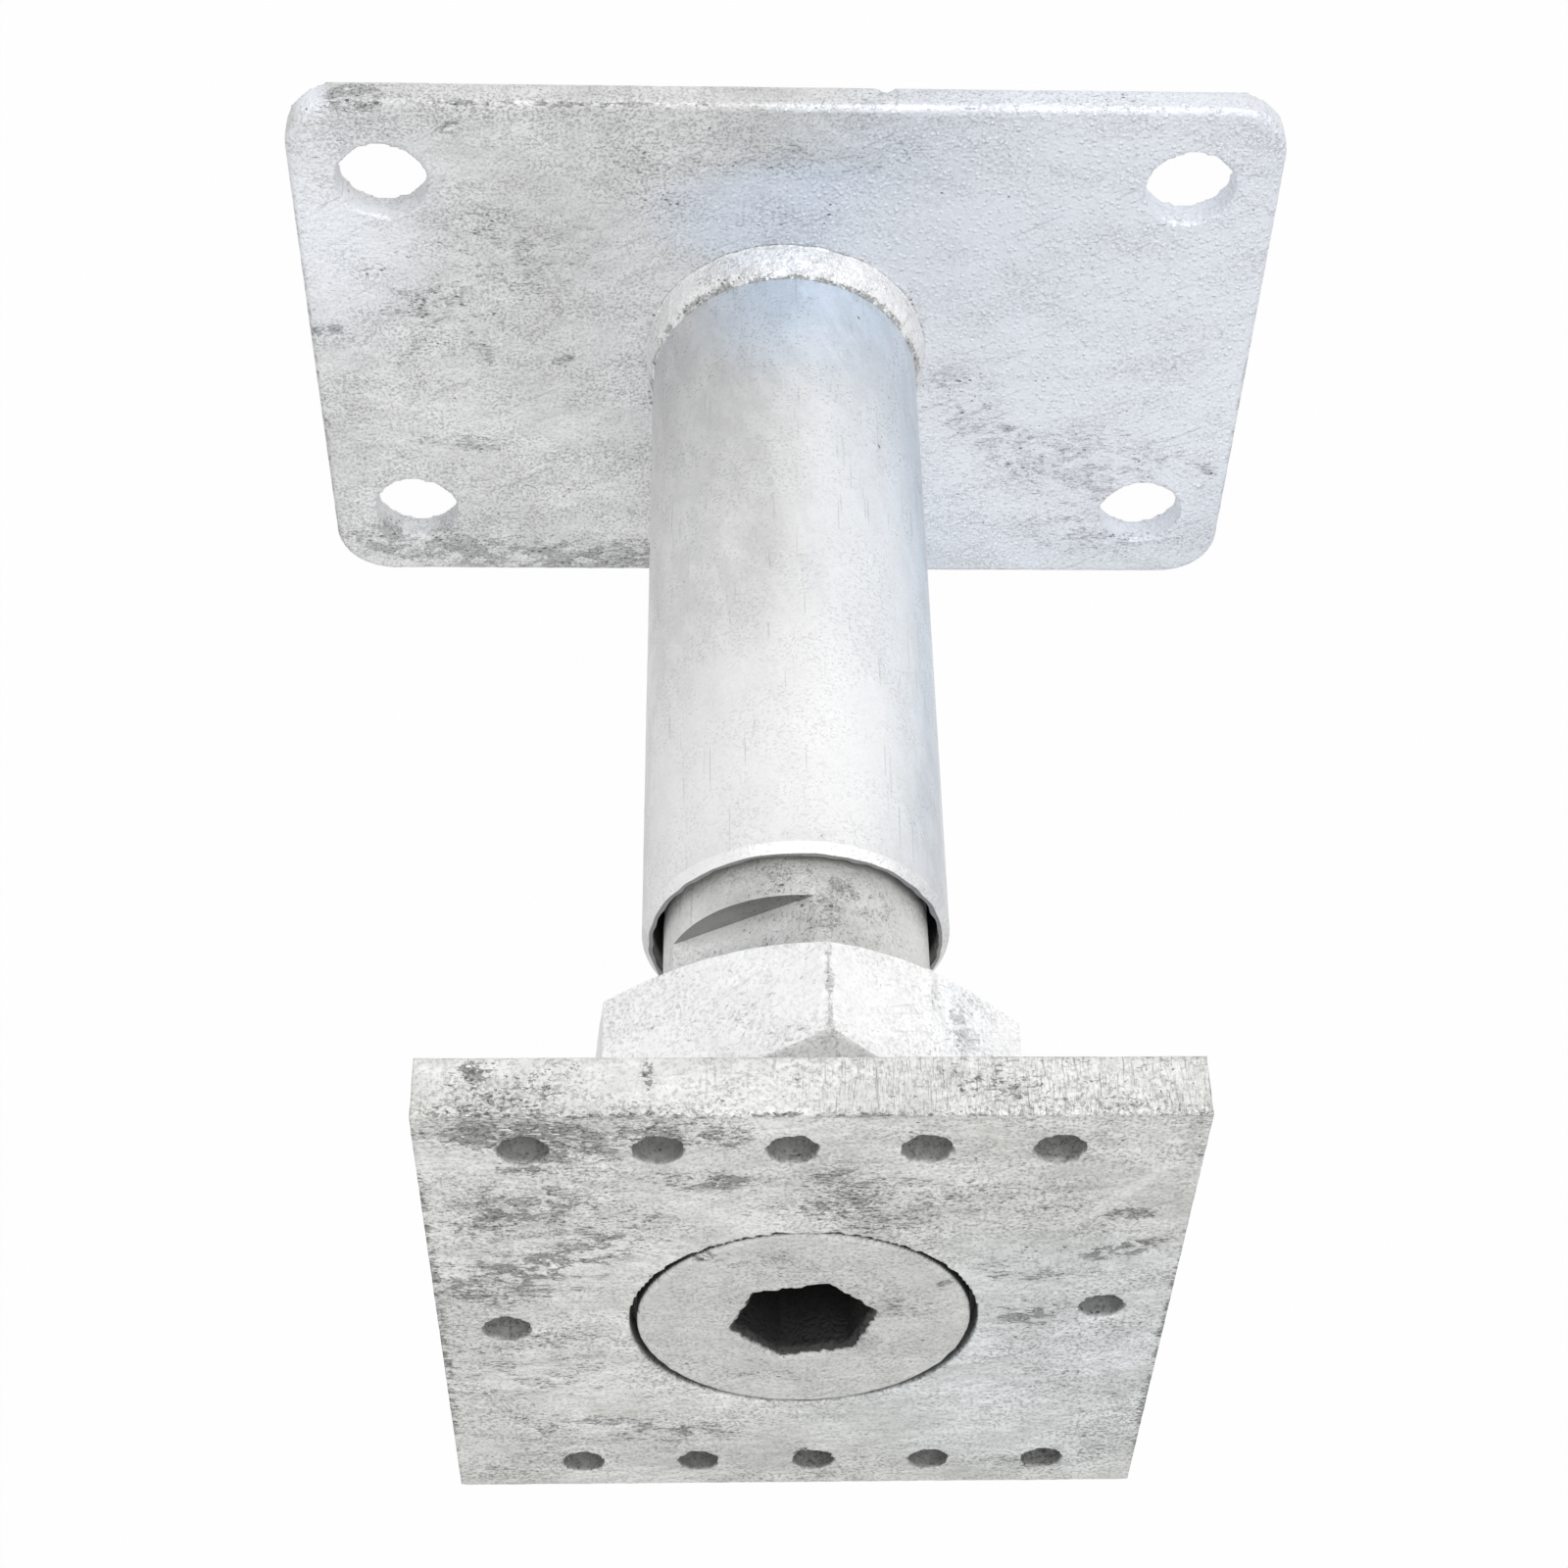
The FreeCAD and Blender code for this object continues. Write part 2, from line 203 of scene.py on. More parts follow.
def ragged(places, rim, seed):
    # moves points near a circular rim in and out, like drops and burrs of zinc, and narrows a filled one
    centre = np.array(rim["at"])
    away = places / mm - centre
    radius = np.hypot(away[:, 0], away[:, 1])
    share = np.clip(1 - np.hypot(radius - rim["radius"], away[:, 2]) / rim["band"], 0, 1)
    for index in np.nonzero(share)[0]:
        flat = Vector((away[index, 0], away[index, 1], 0)) / radius[index]
        shift = Vector((seed, 0, away[index, 2] / rim["lump"]))
        push = noise.noise(flat * (rim["radius"] / rim["lump"]) + shift)
        push = push * rim["height"] - rim.get("filled", 0)
        places[index] += np.array(flat) * (push * share[index] * mm)


def roughened(piece, node, coat):
    # every point sinks along its normal by waves and dents and stays in the node's box, apart from what
    # the coat lets it be sunk below the box or stand above it
    places = pointsOf(piece)
    normals = pointsOf(piece, "vertex_normals", "vector")
    depth = np.zeros(len(places))
    for number, (size, height) in enumerate(coat["waves"], start=1):
        depth += waves(places, size, number) * height
    for dent in coat.get("dents", []):
        depth += nearness(places, dent) * dent["deep"]
    places = places - normals * depth[:, None] * mm
    for number, rim in enumerate(coat.get("rims", []), start=1):
        ragged(places, rim, rimShift * number)
    low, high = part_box(node)
    low.z -= coat.get("sunk", 0) * mm
    high.z += coat.get("above", 0) * mm
    places = np.clip(places, low, high)
    piece.data.vertices.foreach_set("co", places.astype(np.float32).ravel())
    piece.data.update()


# kinds of mark: grime that also paints shade along edges, paler zinc with painted highlight, a painted bluish
# reflection, painted shade in hollows and under parts, orange peel, ribs
markKinds = ("grime", "bright", "cool", "hollow", "drops", "ribs")
mostMark = {"grime": 3}


def stained(piece, coat):
    # one value per point for each kind of mark, which the materials read
    places = pointsOf(piece)
    normals = pointsOf(piece, "vertex_normals", "vector")
    for kind in markKinds:
        amount = np.zeros(len(places), np.float32)
        for mark in coat.get(kind, []):
            amount += nearness(places, mark, normals) * mark.get("amount", 1)
        layer = piece.data.attributes.new(kind, "FLOAT", "POINT")
        amount = np.clip(amount, 0, mostMark.get(kind, 1)).astype(np.float32)
        layer.data.foreach_set("value", amount)


# materials

def addNode(tree, kind, inputs=None, **settings):
    made = tree.nodes.new(kind)
    for name, value in settings.items():
        setattr(made, name, value)
    for name, value in (inputs or {}).items():
        if isinstance(value, bpy.types.NodeSocket):
            tree.links.new(value, made.inputs[name])
        else:
            made.inputs[name].default_value = value
    return made


def maths(tree, operation, first, second=0.0, third=0.0):
    made = addNode(tree, "ShaderNodeMath", {0: first, 1: second, 2: third}, operation=operation)
    return made.outputs[0]


def fade(tree, value, start, end, low=0.0, high=1.0):
    # low below start, high above end, and smooth between them
    made = addNode(tree, "ShaderNodeMapRange", {"Value": value, "From Min": start, "From Max": end,
                                                "To Min": low, "To Max": high},
                   interpolation_type="SMOOTHSTEP")
    return made.outputs["Result"]


def mixColour(tree, amount, first, second, kind="MIX"):
    made = addNode(tree, "ShaderNodeMix", {"Factor": amount, 6: first, 7: second},
                   data_type="RGBA", blend_type=kind)
    return made.outputs[2]


def grey(value, tint=(1, 1, 1)):
    return (value * tint[0], value * tint[1], value * tint[2], 1)


def stretched(tree, coords, size, turn=0.0, shift=(0, 0, 0)):
    # coordinates in which a texture of scale 1 has features of the given size in millimetres
    turns = turn if isinstance(turn, tuple) else (0, 0, turn)
    rotation = tuple(math.radians(angle) for angle in turns)
    scale = tuple(1 / (value * mm) for value in size)
    turned = addNode(tree, "ShaderNodeMapping", {"Vector": coords, "Rotation": rotation})
    made = addNode(tree, "ShaderNodeMapping", {"Vector": turned.outputs["Vector"], "Location": shift,
                                               "Scale": scale})
    return made.outputs["Vector"]


def cellsAt(tree, place, channel):
    # how far a point is from the middle of its cell, and a number that each cell draws
    made = addNode(tree, "ShaderNodeTexVoronoi", {"Vector": place, "Scale": 1.0})
    drawn = addNode(tree, "ShaderNodeSeparateColor", {"Color": made.outputs["Color"]})
    return made.outputs["Distance"], drawn.outputs[channel]


def shaded(tree, colour, pattern, depth):
    # darker where the pattern is 0 and lighter where it is 1
    return mixColour(tree, 1.0, colour, fade(tree, pattern, 0.0, 1.0, 1 - depth, 1 + depth), "MULTIPLY")


def markOn(tree, name):
    return addNode(tree, "ShaderNodeAttribute", attribute_type="GEOMETRY", attribute_name=name).outputs["Fac"]


# where each pattern starts and where it is full
spans = {
    "clouds": (0.38, 0.62), "patches": (0.34, 0.66), "broad": (0.36, 0.62), "grain": (0.34, 0.56),
    "dome": (0.1, 0.42), "shine": (0.12, 0.26), "hem": (0.3, 0.6), "shinyDrops": (0.45, 0.5),
    "tears": (0.38, 0.6), "smears": (0.45, 0.75), "flecks": (0.37, 0.31), "fleckDirt": (0.1, 0.9),
    "pits": (0.52, 0.8), "scratches": (0.69, 0.73), "peel": (0.3, 0.7), "ribs": (0.38, 0.62),
}
# how far each pattern is moved, so that no two of them lie alike
shifts = {
    "clouds": (0, 0, 0), "patches": (3, 1, 2), "smears": (2, 6, 3), "grain": (6, 2, 5), "tears": (9, 2, 6),
    "dashes": (1, 7, 4), "pitGroups": (5, 8, 1), "scratches": (4, 4, 7), "peel": (1, 1, 9), "ribs": (8, 3, 2),
}
# what kind of noise each pattern is
noises = {
    "clouds": {"Detail": 3.0, "Roughness": 0.55},
    "patches": {"Detail": 4.0, "Roughness": 0.65},
    "smears": {"Detail": 3.0, "Roughness": 0.6},
    "grain": {"Detail": 3.0, "Roughness": 0.7},
    "tears": {"Detail": 3.0, "Roughness": 0.65, "Distortion": 0.5},
    "dashes": {"Detail": 4.0, "Roughness": 0.66, "Distortion": 0.8},
    "pitGroups": {"Detail": 3.0, "Roughness": 0.5},
    "scratches": {"Detail": 1.0, "Roughness": 0.5},
    "peel": {"Detail": 2.0, "Roughness": 0.6},
    "ribs": {"Detail": 2.0, "Roughness": 0.6},
}
# how much one pattern changes another
weights = {
    "middleGrain": 0.7, "calmGrain": 0.4, "highlightGrainShare": 0.4, "leastTorn": 0.1, "mostTorn": 1.4,
    "fleckDirt": 0.04, "dashGrain": 0.6, "pitDirt": 0.15, "glossGrain": 0.1, "dullDirt": 0.3,
    "glossShine": 0.22, "latheDepth": 0.35, "bumpDepth": 0.1,
}
pitGroupSize = (7, 7, 7)
lathe = {"Scale": 0.31, "Distortion": 1.5, "Detail": 2.0, "Detail Scale": 2.0}


def patternOf(tree, coords, name, size, turn=0.0):
    # the noise of the named pattern, with features of the given size in millimetres
    place = stretched(tree, coords, size, turn, shifts[name])
    made = addNode(tree, "ShaderNodeTexNoise", {"Vector": place, "Scale": 1.0, **noises[name]})
    return made.outputs["Fac"]


def galvanised(name, look):
    material = bpy.data.materials.new(name)
    material.use_nodes = True
    tree = material.node_tree
    tree.nodes.clear()
    coords = addNode(tree, "ShaderNodeTexCoord").outputs["Object"]
    marks = {kind: markOn(tree, kind) for kind in markKinds}
    lay = look["lay"]

    # two greys in broad clouds, smaller patches and a fine grain
    clouds = patternOf(tree, coords, "clouds", look["clouds"])
    colour = mixColour(tree, fade(tree, clouds, *spans["clouds"]), look["pale"], look["deep"])
    patches = patternOf(tree, coords, "patches", look["patches"], lay)
    colour = shaded(tree, colour, fade(tree, patches, *spans["patches"]), look["patchDepth"])
    broad = patternOf(tree, coords, "smears", look["smears"], lay)
    grain = fade(tree, patternOf(tree, coords, "grain", (look["grain"],) * 3), *spans["grain"])
    grain = maths(tree, "SUBTRACT", grain, weights["middleGrain"])
    calm = fade(tree, broad, *spans["broad"], weights["calmGrain"], 1.0)
    grain = maths(tree, "MULTIPLY_ADD", grain, calm, weights["middleGrain"])
    colour = shaded(tree, colour, grain, look["grainDepth"])
    # painted light: a bluish tint as a painted reflection, then white as painted highlight and paler zinc,
    # broken up by the grain
    colour = mixColour(tree, marks["cool"], colour, look["reflectionTint"], "MULTIPLY")
    highlightGrain = maths(tree, "MULTIPLY_ADD", grain, weights["highlightGrainShare"], 1 - weights["highlightGrainShare"])
    colour = mixColour(tree, maths(tree, "MULTIPLY", marks["bright"], highlightGrain), colour, look["white"])

    # drops of orange peel with slightly darker zinc round them, and white on some of them as a painted glint
    away, chance = cellsAt(tree, stretched(tree, coords, look["dropSize"]), "Red")
    drop = maths(tree, "MULTIPLY", fade(tree, away, *spans["dome"], 1.0, 0.0), marks["drops"])
    shine = maths(tree, "MULTIPLY", fade(tree, away, *spans["shine"], 1.0, 0.0), marks["drops"])
    shine = maths(tree, "MULTIPLY", shine, fade(tree, chance, *spans["shinyDrops"]))
    hem = maths(tree, "MULTIPLY", fade(tree, away, *spans["hem"]), marks["drops"])
    colour = mixColour(tree, maths(tree, "MULTIPLY", hem, look["dropHem"]), colour, look["dirtAndShade"])
    colour = mixColour(tree, shine, colour, look["white"])

    # short dashes of dirt, which come through where there is more grime and, along edges, stand for painted
    # shade, with bright flecks among them as painted highlights
    torn = patternOf(tree, coords, "tears", look["tears"], lay)
    torn = fade(tree, torn, *spans["tears"], weights["leastTorn"], weights["mostTorn"])
    smears = fade(tree, broad, *spans["smears"], 0.0, look["smearAmount"])
    dirtAndShadeAmount = maths(tree, "MULTIPLY_ADD", marks["grime"], torn, smears)
    dash = patternOf(tree, coords, "dashes", look["dashes"], lay)
    lift = maths(tree, "MINIMUM", maths(tree, "MULTIPLY", dirtAndShadeAmount, look["dashGain"]), look["dashMost"])
    lift = maths(tree, "ADD", lift, dash)
    dashes = fade(tree, lift, look["dashFrom"], look["dashFrom"] + look["dashEdge"])
    fleck = fade(tree, maths(tree, "MULTIPLY_ADD", dirtAndShadeAmount, -weights["fleckDirt"], dash), *spans["flecks"])
    among = fade(tree, dirtAndShadeAmount, *spans["fleckDirt"], 0.0, look["flecks"])
    fleck = maths(tree, "MULTIPLY", fleck, among)
    colour = mixColour(tree, fleck, colour, look["white"])
    filmAndShade = maths(tree, "MULTIPLY", dirtAndShadeAmount, look["filmAndShade"])
    depth = fade(tree, grain, 0.0, 1.0, look["dashDepth"], look["dashDepth"] * weights["dashGrain"])
    dirtAndShade = maths(tree, "MAXIMUM", maths(tree, "MULTIPLY", dashes, depth), filmAndShade)
    colour = mixColour(tree, dirtAndShade, colour, look["dirtAndShade"])

    # pits, in groups and in the grime, and fine scratches
    away, chance = cellsAt(tree, stretched(tree, coords, look["pits"], lay), "Green")
    group = patternOf(tree, coords, "pitGroups", pitGroupSize)
    group = maths(tree, "MULTIPLY_ADD", dirtAndShadeAmount, weights["pitDirt"], group)
    size = fade(tree, group, *spans["pits"], 0.0, look["pitSize"])
    size = maths(tree, "MULTIPLY", size, maths(tree, "LESS_THAN", chance, look["pitShare"]))
    pit = maths(tree, "LESS_THAN", away, size)
    colour = mixColour(tree, maths(tree, "MULTIPLY", pit, look["pitDepth"]), colour, look["dirtAndShade"])
    scratch = patternOf(tree, coords, "scratches", look["scratches"], look["scratchTurn"])
    scratch = fade(tree, scratch, *spans["scratches"])
    colour = mixColour(tree, maths(tree, "MULTIPLY", scratch, look["scratchDepth"]), colour, look["dirtAndShade"])
    # painted shade: the colour is darkened towards the shadow colour in holes, recesses and under parts
    colour = mixColour(tree, marks["hollow"], colour, look["shadow"], "MULTIPLY")

    # the same patterns as height
    peel = fade(tree, patternOf(tree, coords, "peel", (look["peelSize"],) * 3), *spans["peel"])
    height = maths(tree, "MULTIPLY", peel, look["peel"])
    height = maths(tree, "MULTIPLY_ADD", grain, look["grainHeight"], height)
    height = maths(tree, "MULTIPLY_ADD", dashes, -look["dashHeight"], height)
    height = maths(tree, "MULTIPLY_ADD", fleck, look["dashHeight"], height)
    height = maths(tree, "MULTIPLY_ADD", drop, look["dropHeight"], height)
    rib = fade(tree, patternOf(tree, coords, "ribs", look["ribSize"]), *spans["ribs"])
    rib = maths(tree, "MULTIPLY", rib, marks["ribs"])
    height = maths(tree, "MULTIPLY_ADD", rib, look["ribHeight"], height)
    height = maths(tree, "MULTIPLY_ADD", pit, -look["pitHeight"], height)
    if "turning" in look:
        place = stretched(tree, coords, (look["turning"],) * 3)
        rings = addNode(tree, "ShaderNodeTexWave", {"Vector": place, **lathe}, wave_type="RINGS",
                        rings_direction="Z")
        height = maths(tree, "MULTIPLY_ADD", rings.outputs["Fac"], weights["latheDepth"], height)
    bump = addNode(tree, "ShaderNodeBump", {"Height": height, "Strength": 1.0,
                                            "Distance": weights["bumpDepth"] * mm})

    # shinier on drops and duller in dirt
    least, most = look["roughness"] - weights["glossGrain"], look["roughness"] + weights["glossGrain"]
    gloss = fade(tree, grain, 0.0, 1.0, least, most)
    gloss = maths(tree, "MULTIPLY_ADD", dirtAndShade, weights["dullDirt"], gloss)
    gloss = maths(tree, "MULTIPLY_ADD", shine, -weights["glossShine"], gloss)
    shader = addNode(tree, "ShaderNodeBsdfPrincipled",
                     {"Base Color": colour, "Roughness": gloss, "Normal": bump.outputs["Normal"],
                      "Metallic": look["metallic"]})
    output = addNode(tree, "ShaderNodeOutputMaterial")
    tree.links.new(shader.outputs["BSDF"], output.inputs["Surface"])
    return material


# what all the zinc has in common
zinc = {
    "pale": grey(0.68), "deep": grey(0.58), "clouds": (24, 24, 24), "lay": 0,
    "patches": (4, 2.5, 3), "patchDepth": 0.05, "grain": 0.5, "grainDepth": 0.2,
    # the tint of the painted bluish reflection, and the white of painted highlights, glints and flecks
    "reflectionTint": grey(1.0, (0.9, 1.0, 1.15)), "white": grey(0.95),
    "smears": (14, 8, 8), "smearAmount": 0.6, "tears": (4, 2.4, 3),
    "dashes": (1.4, 0.45, 0.6), "dashFrom": 0.66, "dashEdge": 0.035,
    "dashGain": 0.12, "dashMost": 0.19, "dashDepth": 0.75, "dashHeight": 1.0, "flecks": 0.6, "filmAndShade": 0.05,
    # the dark colour of dirt, pits and scratches, also used for painted shade along edges
    "dirtAndShade": grey(0.12, (1.0, 1.0, 0.96)),
    "pits": (1.4, 0.9, 1.0), "pitSize": 0.26, "pitShare": 0.6, "pitDepth": 0.8, "pitHeight": 0.8,
    "shadow": grey(0.3),
    "scratches": (0.5, 14, 14), "scratchTurn": 60, "scratchDepth": 0.2,
    "peelSize": 1.2, "peel": 0.5, "grainHeight": 0.6, "dropSize": (1.1, 1.1, 1.1), "dropHeight": 1.6,
    "dropHem": 0.05,
    "ribSize": (0.7, 0.7, 4), "ribHeight": 1.3, "roughness": 0.42, "metallic": 0.35,
}


def holesIn(start):
    # centres and radii of the holes that the record lists under names with this start
    holes = []
    for mount in frame["record"]["mounts"]:
        if not mount["name"].startswith(start):
            continue
        x, y = (value / mm for value in mount["pos_m"][:2])
        spanX = mount["dims"].get("spacing_x_mm", 0) / 2
        spanY = mount["dims"].get("spacing_y_mm", 0) / 2
        radius = mount["dims"].get("hole_r_mm") or mount["dims"]["r_mm"]
        places = {(x + sideX * spanX, y + sideY * spanY) for sideX in (-1, 1) for sideY in (-1, 1)}
        holes += [(place, radius) for place in sorted(places)]
    return holes


# base plate: thick zinc with smudges on one half and orange peel on the other

basePlate = {
    "grain": 0.62,
    "waves": [(9, 0.08), (2.5, 0.08)],
    "dents": [
        {"at": (50.2, -45.3, 5), "reach": (2.6, 1.2, 2), "turn": 20, "deep": 0.5},
        {"at": (65, -50, 3.6), "reach": (5, 2, 2), "deep": 0.35},
        {"at": (-14.4, -50, 0), "reach": (1.3, 2, 1.6), "deep": 0.7},
        {"at": (74, -4.9, 5), "reach": (0.9, 0.8, 1), "deep": 0.3},
        {"at": (71.2, -5.1, 5), "reach": (0.9, 0.8, 1), "deep": 0.3},
    ],
    "grime": [
        {"at": (64.5, -50, 3.4), "reach": (6.5, 3, 3), "amount": 2.0},
        {"at": (36, -50, 5), "reach": (36, 0.8, 0.8), "amount": 1.3, "firm": 2},
        {"at": (50.2, -45.3, 5), "reach": (3, 1.4, 2), "amount": 2, "turn": 20},
        {"at": (74, -4.9, 5), "reach": (1.2, 1, 1), "amount": 3, "firm": 2},
        {"at": (71.2, -5.1, 5), "reach": (1.2, 1, 1), "amount": 3, "firm": 2},
        {"at": (36.2, 1.4, 5), "reach": (1.2, 0.8, 1), "amount": 3, "firm": 2},
        {"at": (34.6, 0.4, 5), "reach": (1.0, 0.8, 1), "amount": 3, "firm": 2},
        {"at": (41, -21, 5), "reach": (20, 11, 3), "amount": 0.7},
        {"at": (55, -10.2, 5), "reach": (13, 5.5, 3), "amount": 0.9},
        {"at": (48, -1, 5), "reach": (7, 1.8, 3), "amount": 1.0, "turn": 118},
        {"at": (60, 0, 5), "reach": (6, 1.5, 3), "amount": 0.8, "turn": 60},
        {"at": (53, 19.3, 5), "reach": (10, 3.5, 3), "amount": 1.1, "turn": -6},
        {"at": (67, 42, 5), "reach": (14, 6, 4), "amount": 1.3, "turn": 10},
        {"at": (40, 46, 5), "reach": (30, 6, 4), "amount": 1.6},
        {"at": (15, 46, 5), "reach": (14, 4, 4), "amount": 0.9},
        {"at": (-50, 24, 5), "reach": (22, 12, 3), "amount": 0.8},
        {"at": (-39, 17, 5), "reach": (5, 2, 3), "amount": 1.0, "turn": -30},
        {"at": (-71, 25, 5), "reach": (4, 3, 3), "amount": 1.3},
        {"at": (-55, 40, 5), "reach": (16, 8, 3), "amount": 0.8},
        {"at": (-30, 12, 5), "reach": (8, 14, 3), "amount": 0.7, "turn": 20},
        {"at": (4, -40, 5), "reach": (30, 5, 3), "amount": 0.6},
        # painted shade along the back and side edges, which face away from the lamps
        {"at": (0, 50, 4.6), "reach": (76, 1.0, 1.2), "amount": 2.0, "firm": 2},
        {"at": (75.5, 5, 4.6), "reach": (0.9, 50, 1), "amount": 1.4},
        {"at": (-75.5, 10, 4.6), "reach": (0.9, 40, 1), "amount": 1.2},
    ],
    # painted highlights on the front edge, over the -X half and before the tube
    "bright": [
        {"at": (-34, -49.6, 5), "reach": (44, 1.1, 1.1), "amount": 1.0, "firm": 2},
        {"at": (71, -48.5, 3), "reach": (3.5, 3, 4), "amount": 1.0},
        {"at": (-50, -6, 5), "reach": (48, 70, 12), "amount": 0.95, "firm": 1.6},
        {"at": (70, -30, 5), "reach": (24, 26, 8), "amount": 0.3},
        {"at": (70, -22, 5), "reach": (16, 26, 3), "amount": 0.5},
        {"at": (0, -8, 5), "reach": (36, 40, 3), "amount": 0.45},
        {"at": (0, -29, 5), "reach": (24, 12, 4), "amount": 0.25},
    ],
    # painted bluish reflection over the -X half and before the tube
    "cool": [
        {"at": (-45, 0, 5), "reach": (64, 70, 12), "amount": 0.9, "firm": 1.5},
        {"at": (0, -29, 5), "reach": (24, 12, 4), "amount": 1.0},
    ],
    "drops": [
        {"at": (-45, -10, 5), "reach": (50, 66, 4), "firm": 3},
        {"at": (2, -30, 5), "reach": (26, 12, 4), "amount": 0.7},
        {"at": (-30, -49.6, 5), "reach": (50, 1.6, 1.6), "firm": 2},
    ],
    "rim": {"band": 1.2, "lump": 2.6, "height": 0.22},
    "holeMiddle": 2.3, "holeWall": {"reach": (8, 8, 2.4), "drum": True, "amount": 0.2, "firm": 4},
    "look": {**zinc, "pale": grey(0.62), "deep": grey(0.55), "peel": 0.7, "smearAmount": 0.5,
             "grainDepth": 0.26, "dashes": (1.1, 0.34, 0.5), "dashDepth": 0.65, "dirtAndShade": grey(0.15),
             "white": grey(0.93, (0.97, 1, 1.06))},
}


def makeBasePlate():
    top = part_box("base_plate")[1].z / mm
    anchors = holesIn("anchor")
    rims = [{"at": (*place, top), "radius": radius, **basePlate["rim"]} for place, radius in anchors]
    middle = basePlate["holeMiddle"]
    inHoles = [{"at": (*place, middle), **basePlate["holeWall"]} for place, radius in anchors]
    piece = newPiece("basePlateCoat", mergedCopy("base_plate"))
    dipped(piece, basePlate["grain"])
    # the anchor holes' walls get a painted highlight
    stained(piece, {**basePlate, "bright": basePlate["bright"] + inHoles})
    roughened(piece, "base_plate", {**basePlate, "rims": rims})
    placed(piece, "base", "base_plate", galvanised("basePlateZinc", basePlate["look"]))


# tube: smoother drawn steel under the zinc, bevelled outside its rim and bored out wider at the mouth

tube = {
    "outer": 21, "bore": 18.05, "mouth": 19.4, "mouthDepth": 22, "bevel": (1.0, 1.3), "edge": 0.07,
    "steps": 256, "spacing": 1.1,
    "waves": [(16, 0.05), (3, 0.03)],
    "rims": [{"at": (0, 0, 122), "radius": 19.4, "band": 1.0, "lump": 2.2, "height": 0.45},
             {"at": (0, 0, 122), "radius": 20.2, "band": 0.8, "lump": 3.5, "height": 0.25}],
    "grime": [
        {"at": (-1, -21, 119.8), "reach": (4.5, 3, 0.7), "amount": 2.6, "firm": 2},
        {"at": (6.7, -19.9, 51), "reach": (2, 2, 1), "amount": 2},
        # painted shade inside the bored mouth
        {"at": (0, 0, 110), "reach": (19.9, 19.9, 11.9), "amount": 0.8, "firm": 8},
        {"at": (12.5, -16.9, 52), "reach": (3, 3, 5), "amount": 1.0},
        {"at": (-10, -18.7, 24), "reach": (7, 5, 14), "amount": 1.5},
        {"at": (-13, -17, 44), "reach": (4, 5, 10), "amount": 1.3},
        {"at": (-2, -21, 62), "reach": (9, 6, 16), "amount": 1.1},
        {"at": (-9.6, -18.7, 81), "reach": (6, 3, 10), "amount": 0.9},
        {"at": (0, 0, 11.2), "reach": (22, 22, 1.2), "drum": True, "amount": 1.6, "firm": 3},
        {"at": (17, -13, 121), "reach": (5, 8, 1.4), "amount": 1.5},
        {"at": (-17, -13, 121), "reach": (6, 9, 1.8), "amount": 2.0},
    ],
    # painted highlights on the -X side, on the upper front and on the rim's bevel
    "bright": [
        {"at": (-10, -18, 66), "reach": (15, 13, 60), "amount": 0.7},
        {"at": (8, -18, 108), "reach": (26, 18, 36), "amount": 0.7},
        {"at": (0, -14, 121.36), "reach": (24, 24, 0.72), "drum": True, "amount": 0.3, "firm": 8},
        {"at": (0, -14, 121.36), "reach": (18, 18, 0.72), "drum": True, "amount": 0.2, "firm": 4},
    ],
    # painted bluish reflection low at the front, round the foot and up the -X side
    "cool": [{"at": (-2, -21, 10), "reach": (19, 14, 26), "amount": 0.75},
             {"at": (0, 0, 8), "reach": (26, 26, 30), "amount": 0.35},
             {"at": (-18, -12, 60), "reach": (20, 18, 80), "amount": 0.7}],
    # painted shade inside the tube and on the rim's inner land
    "hollow": [{"at": (0, 0, 95), "reach": (19.9, 19.9, 26.4), "drum": True, "amount": 0.8, "firm": 8},
               {"at": (0, 0, 122), "reach": (20.06, 20.06, 0.5), "drum": True, "amount": 0.65, "firm": 30}],
    "look": {**zinc, "pale": grey(0.71), "deep": grey(0.64), "clouds": (14, 14, 40), "patches": (3, 3, 9),
             "lay": (0, 25, 0), "reflectionTint": grey(1.0, (0.83, 0.96, 1.12)), "pits": (1.8, 1.8, 4.2),
             "pitShare": 0.1, "pitSize": 0.16, "grainDepth": 0.08, "grainHeight": 0.3, "smearAmount": 0.25,
             "dashes": (1.2, 1.0, 3.2), "dashDepth": 0.6, "dashFrom": 0.86, "dashHeight": 0.5,
             "dashMost": 0.34, "peel": 0.2, "filmAndShade": 0.03, "flecks": 0.3, "scratches": (0.5, 0.5, 12),
             "scratchTurn": 0, "roughness": 0.36, "metallic": 0.5, "shadow": grey(0.1)},
}


def makeTube():
    low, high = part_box("tube")
    foot, rim = low.z / mm, high.z / mm
    across, along = tube["bevel"]
    outer, inner, edge = tube["outer"], tube["outer"] - across, tube["edge"]
    # narrow steps beside the bevel keep its marks from spreading past its two edges
    profile = [(tube["bore"], foot), (outer, foot),
               (outer, rim - along - edge), (outer, rim - along), (outer - edge, rim - along + edge),
               (inner + edge, rim - edge), (inner, rim), (inner - edge, rim),
               (tube["mouth"], rim), (tube["mouth"], rim - tube["mouthDepth"]),
               (tube["bore"], rim - tube["mouthDepth"])]
    piece = newPiece("tubeCoat", spun(profile, tube["steps"], tube["spacing"]))
    stained(piece, tube)
    roughened(piece, "tube", tube)
    crisp(piece)
    placed(piece, "base", "tube", galvanised("tubeZinc", tube["look"]))


# weld: a lumpy convex bead between plate and tube, higher towards the back

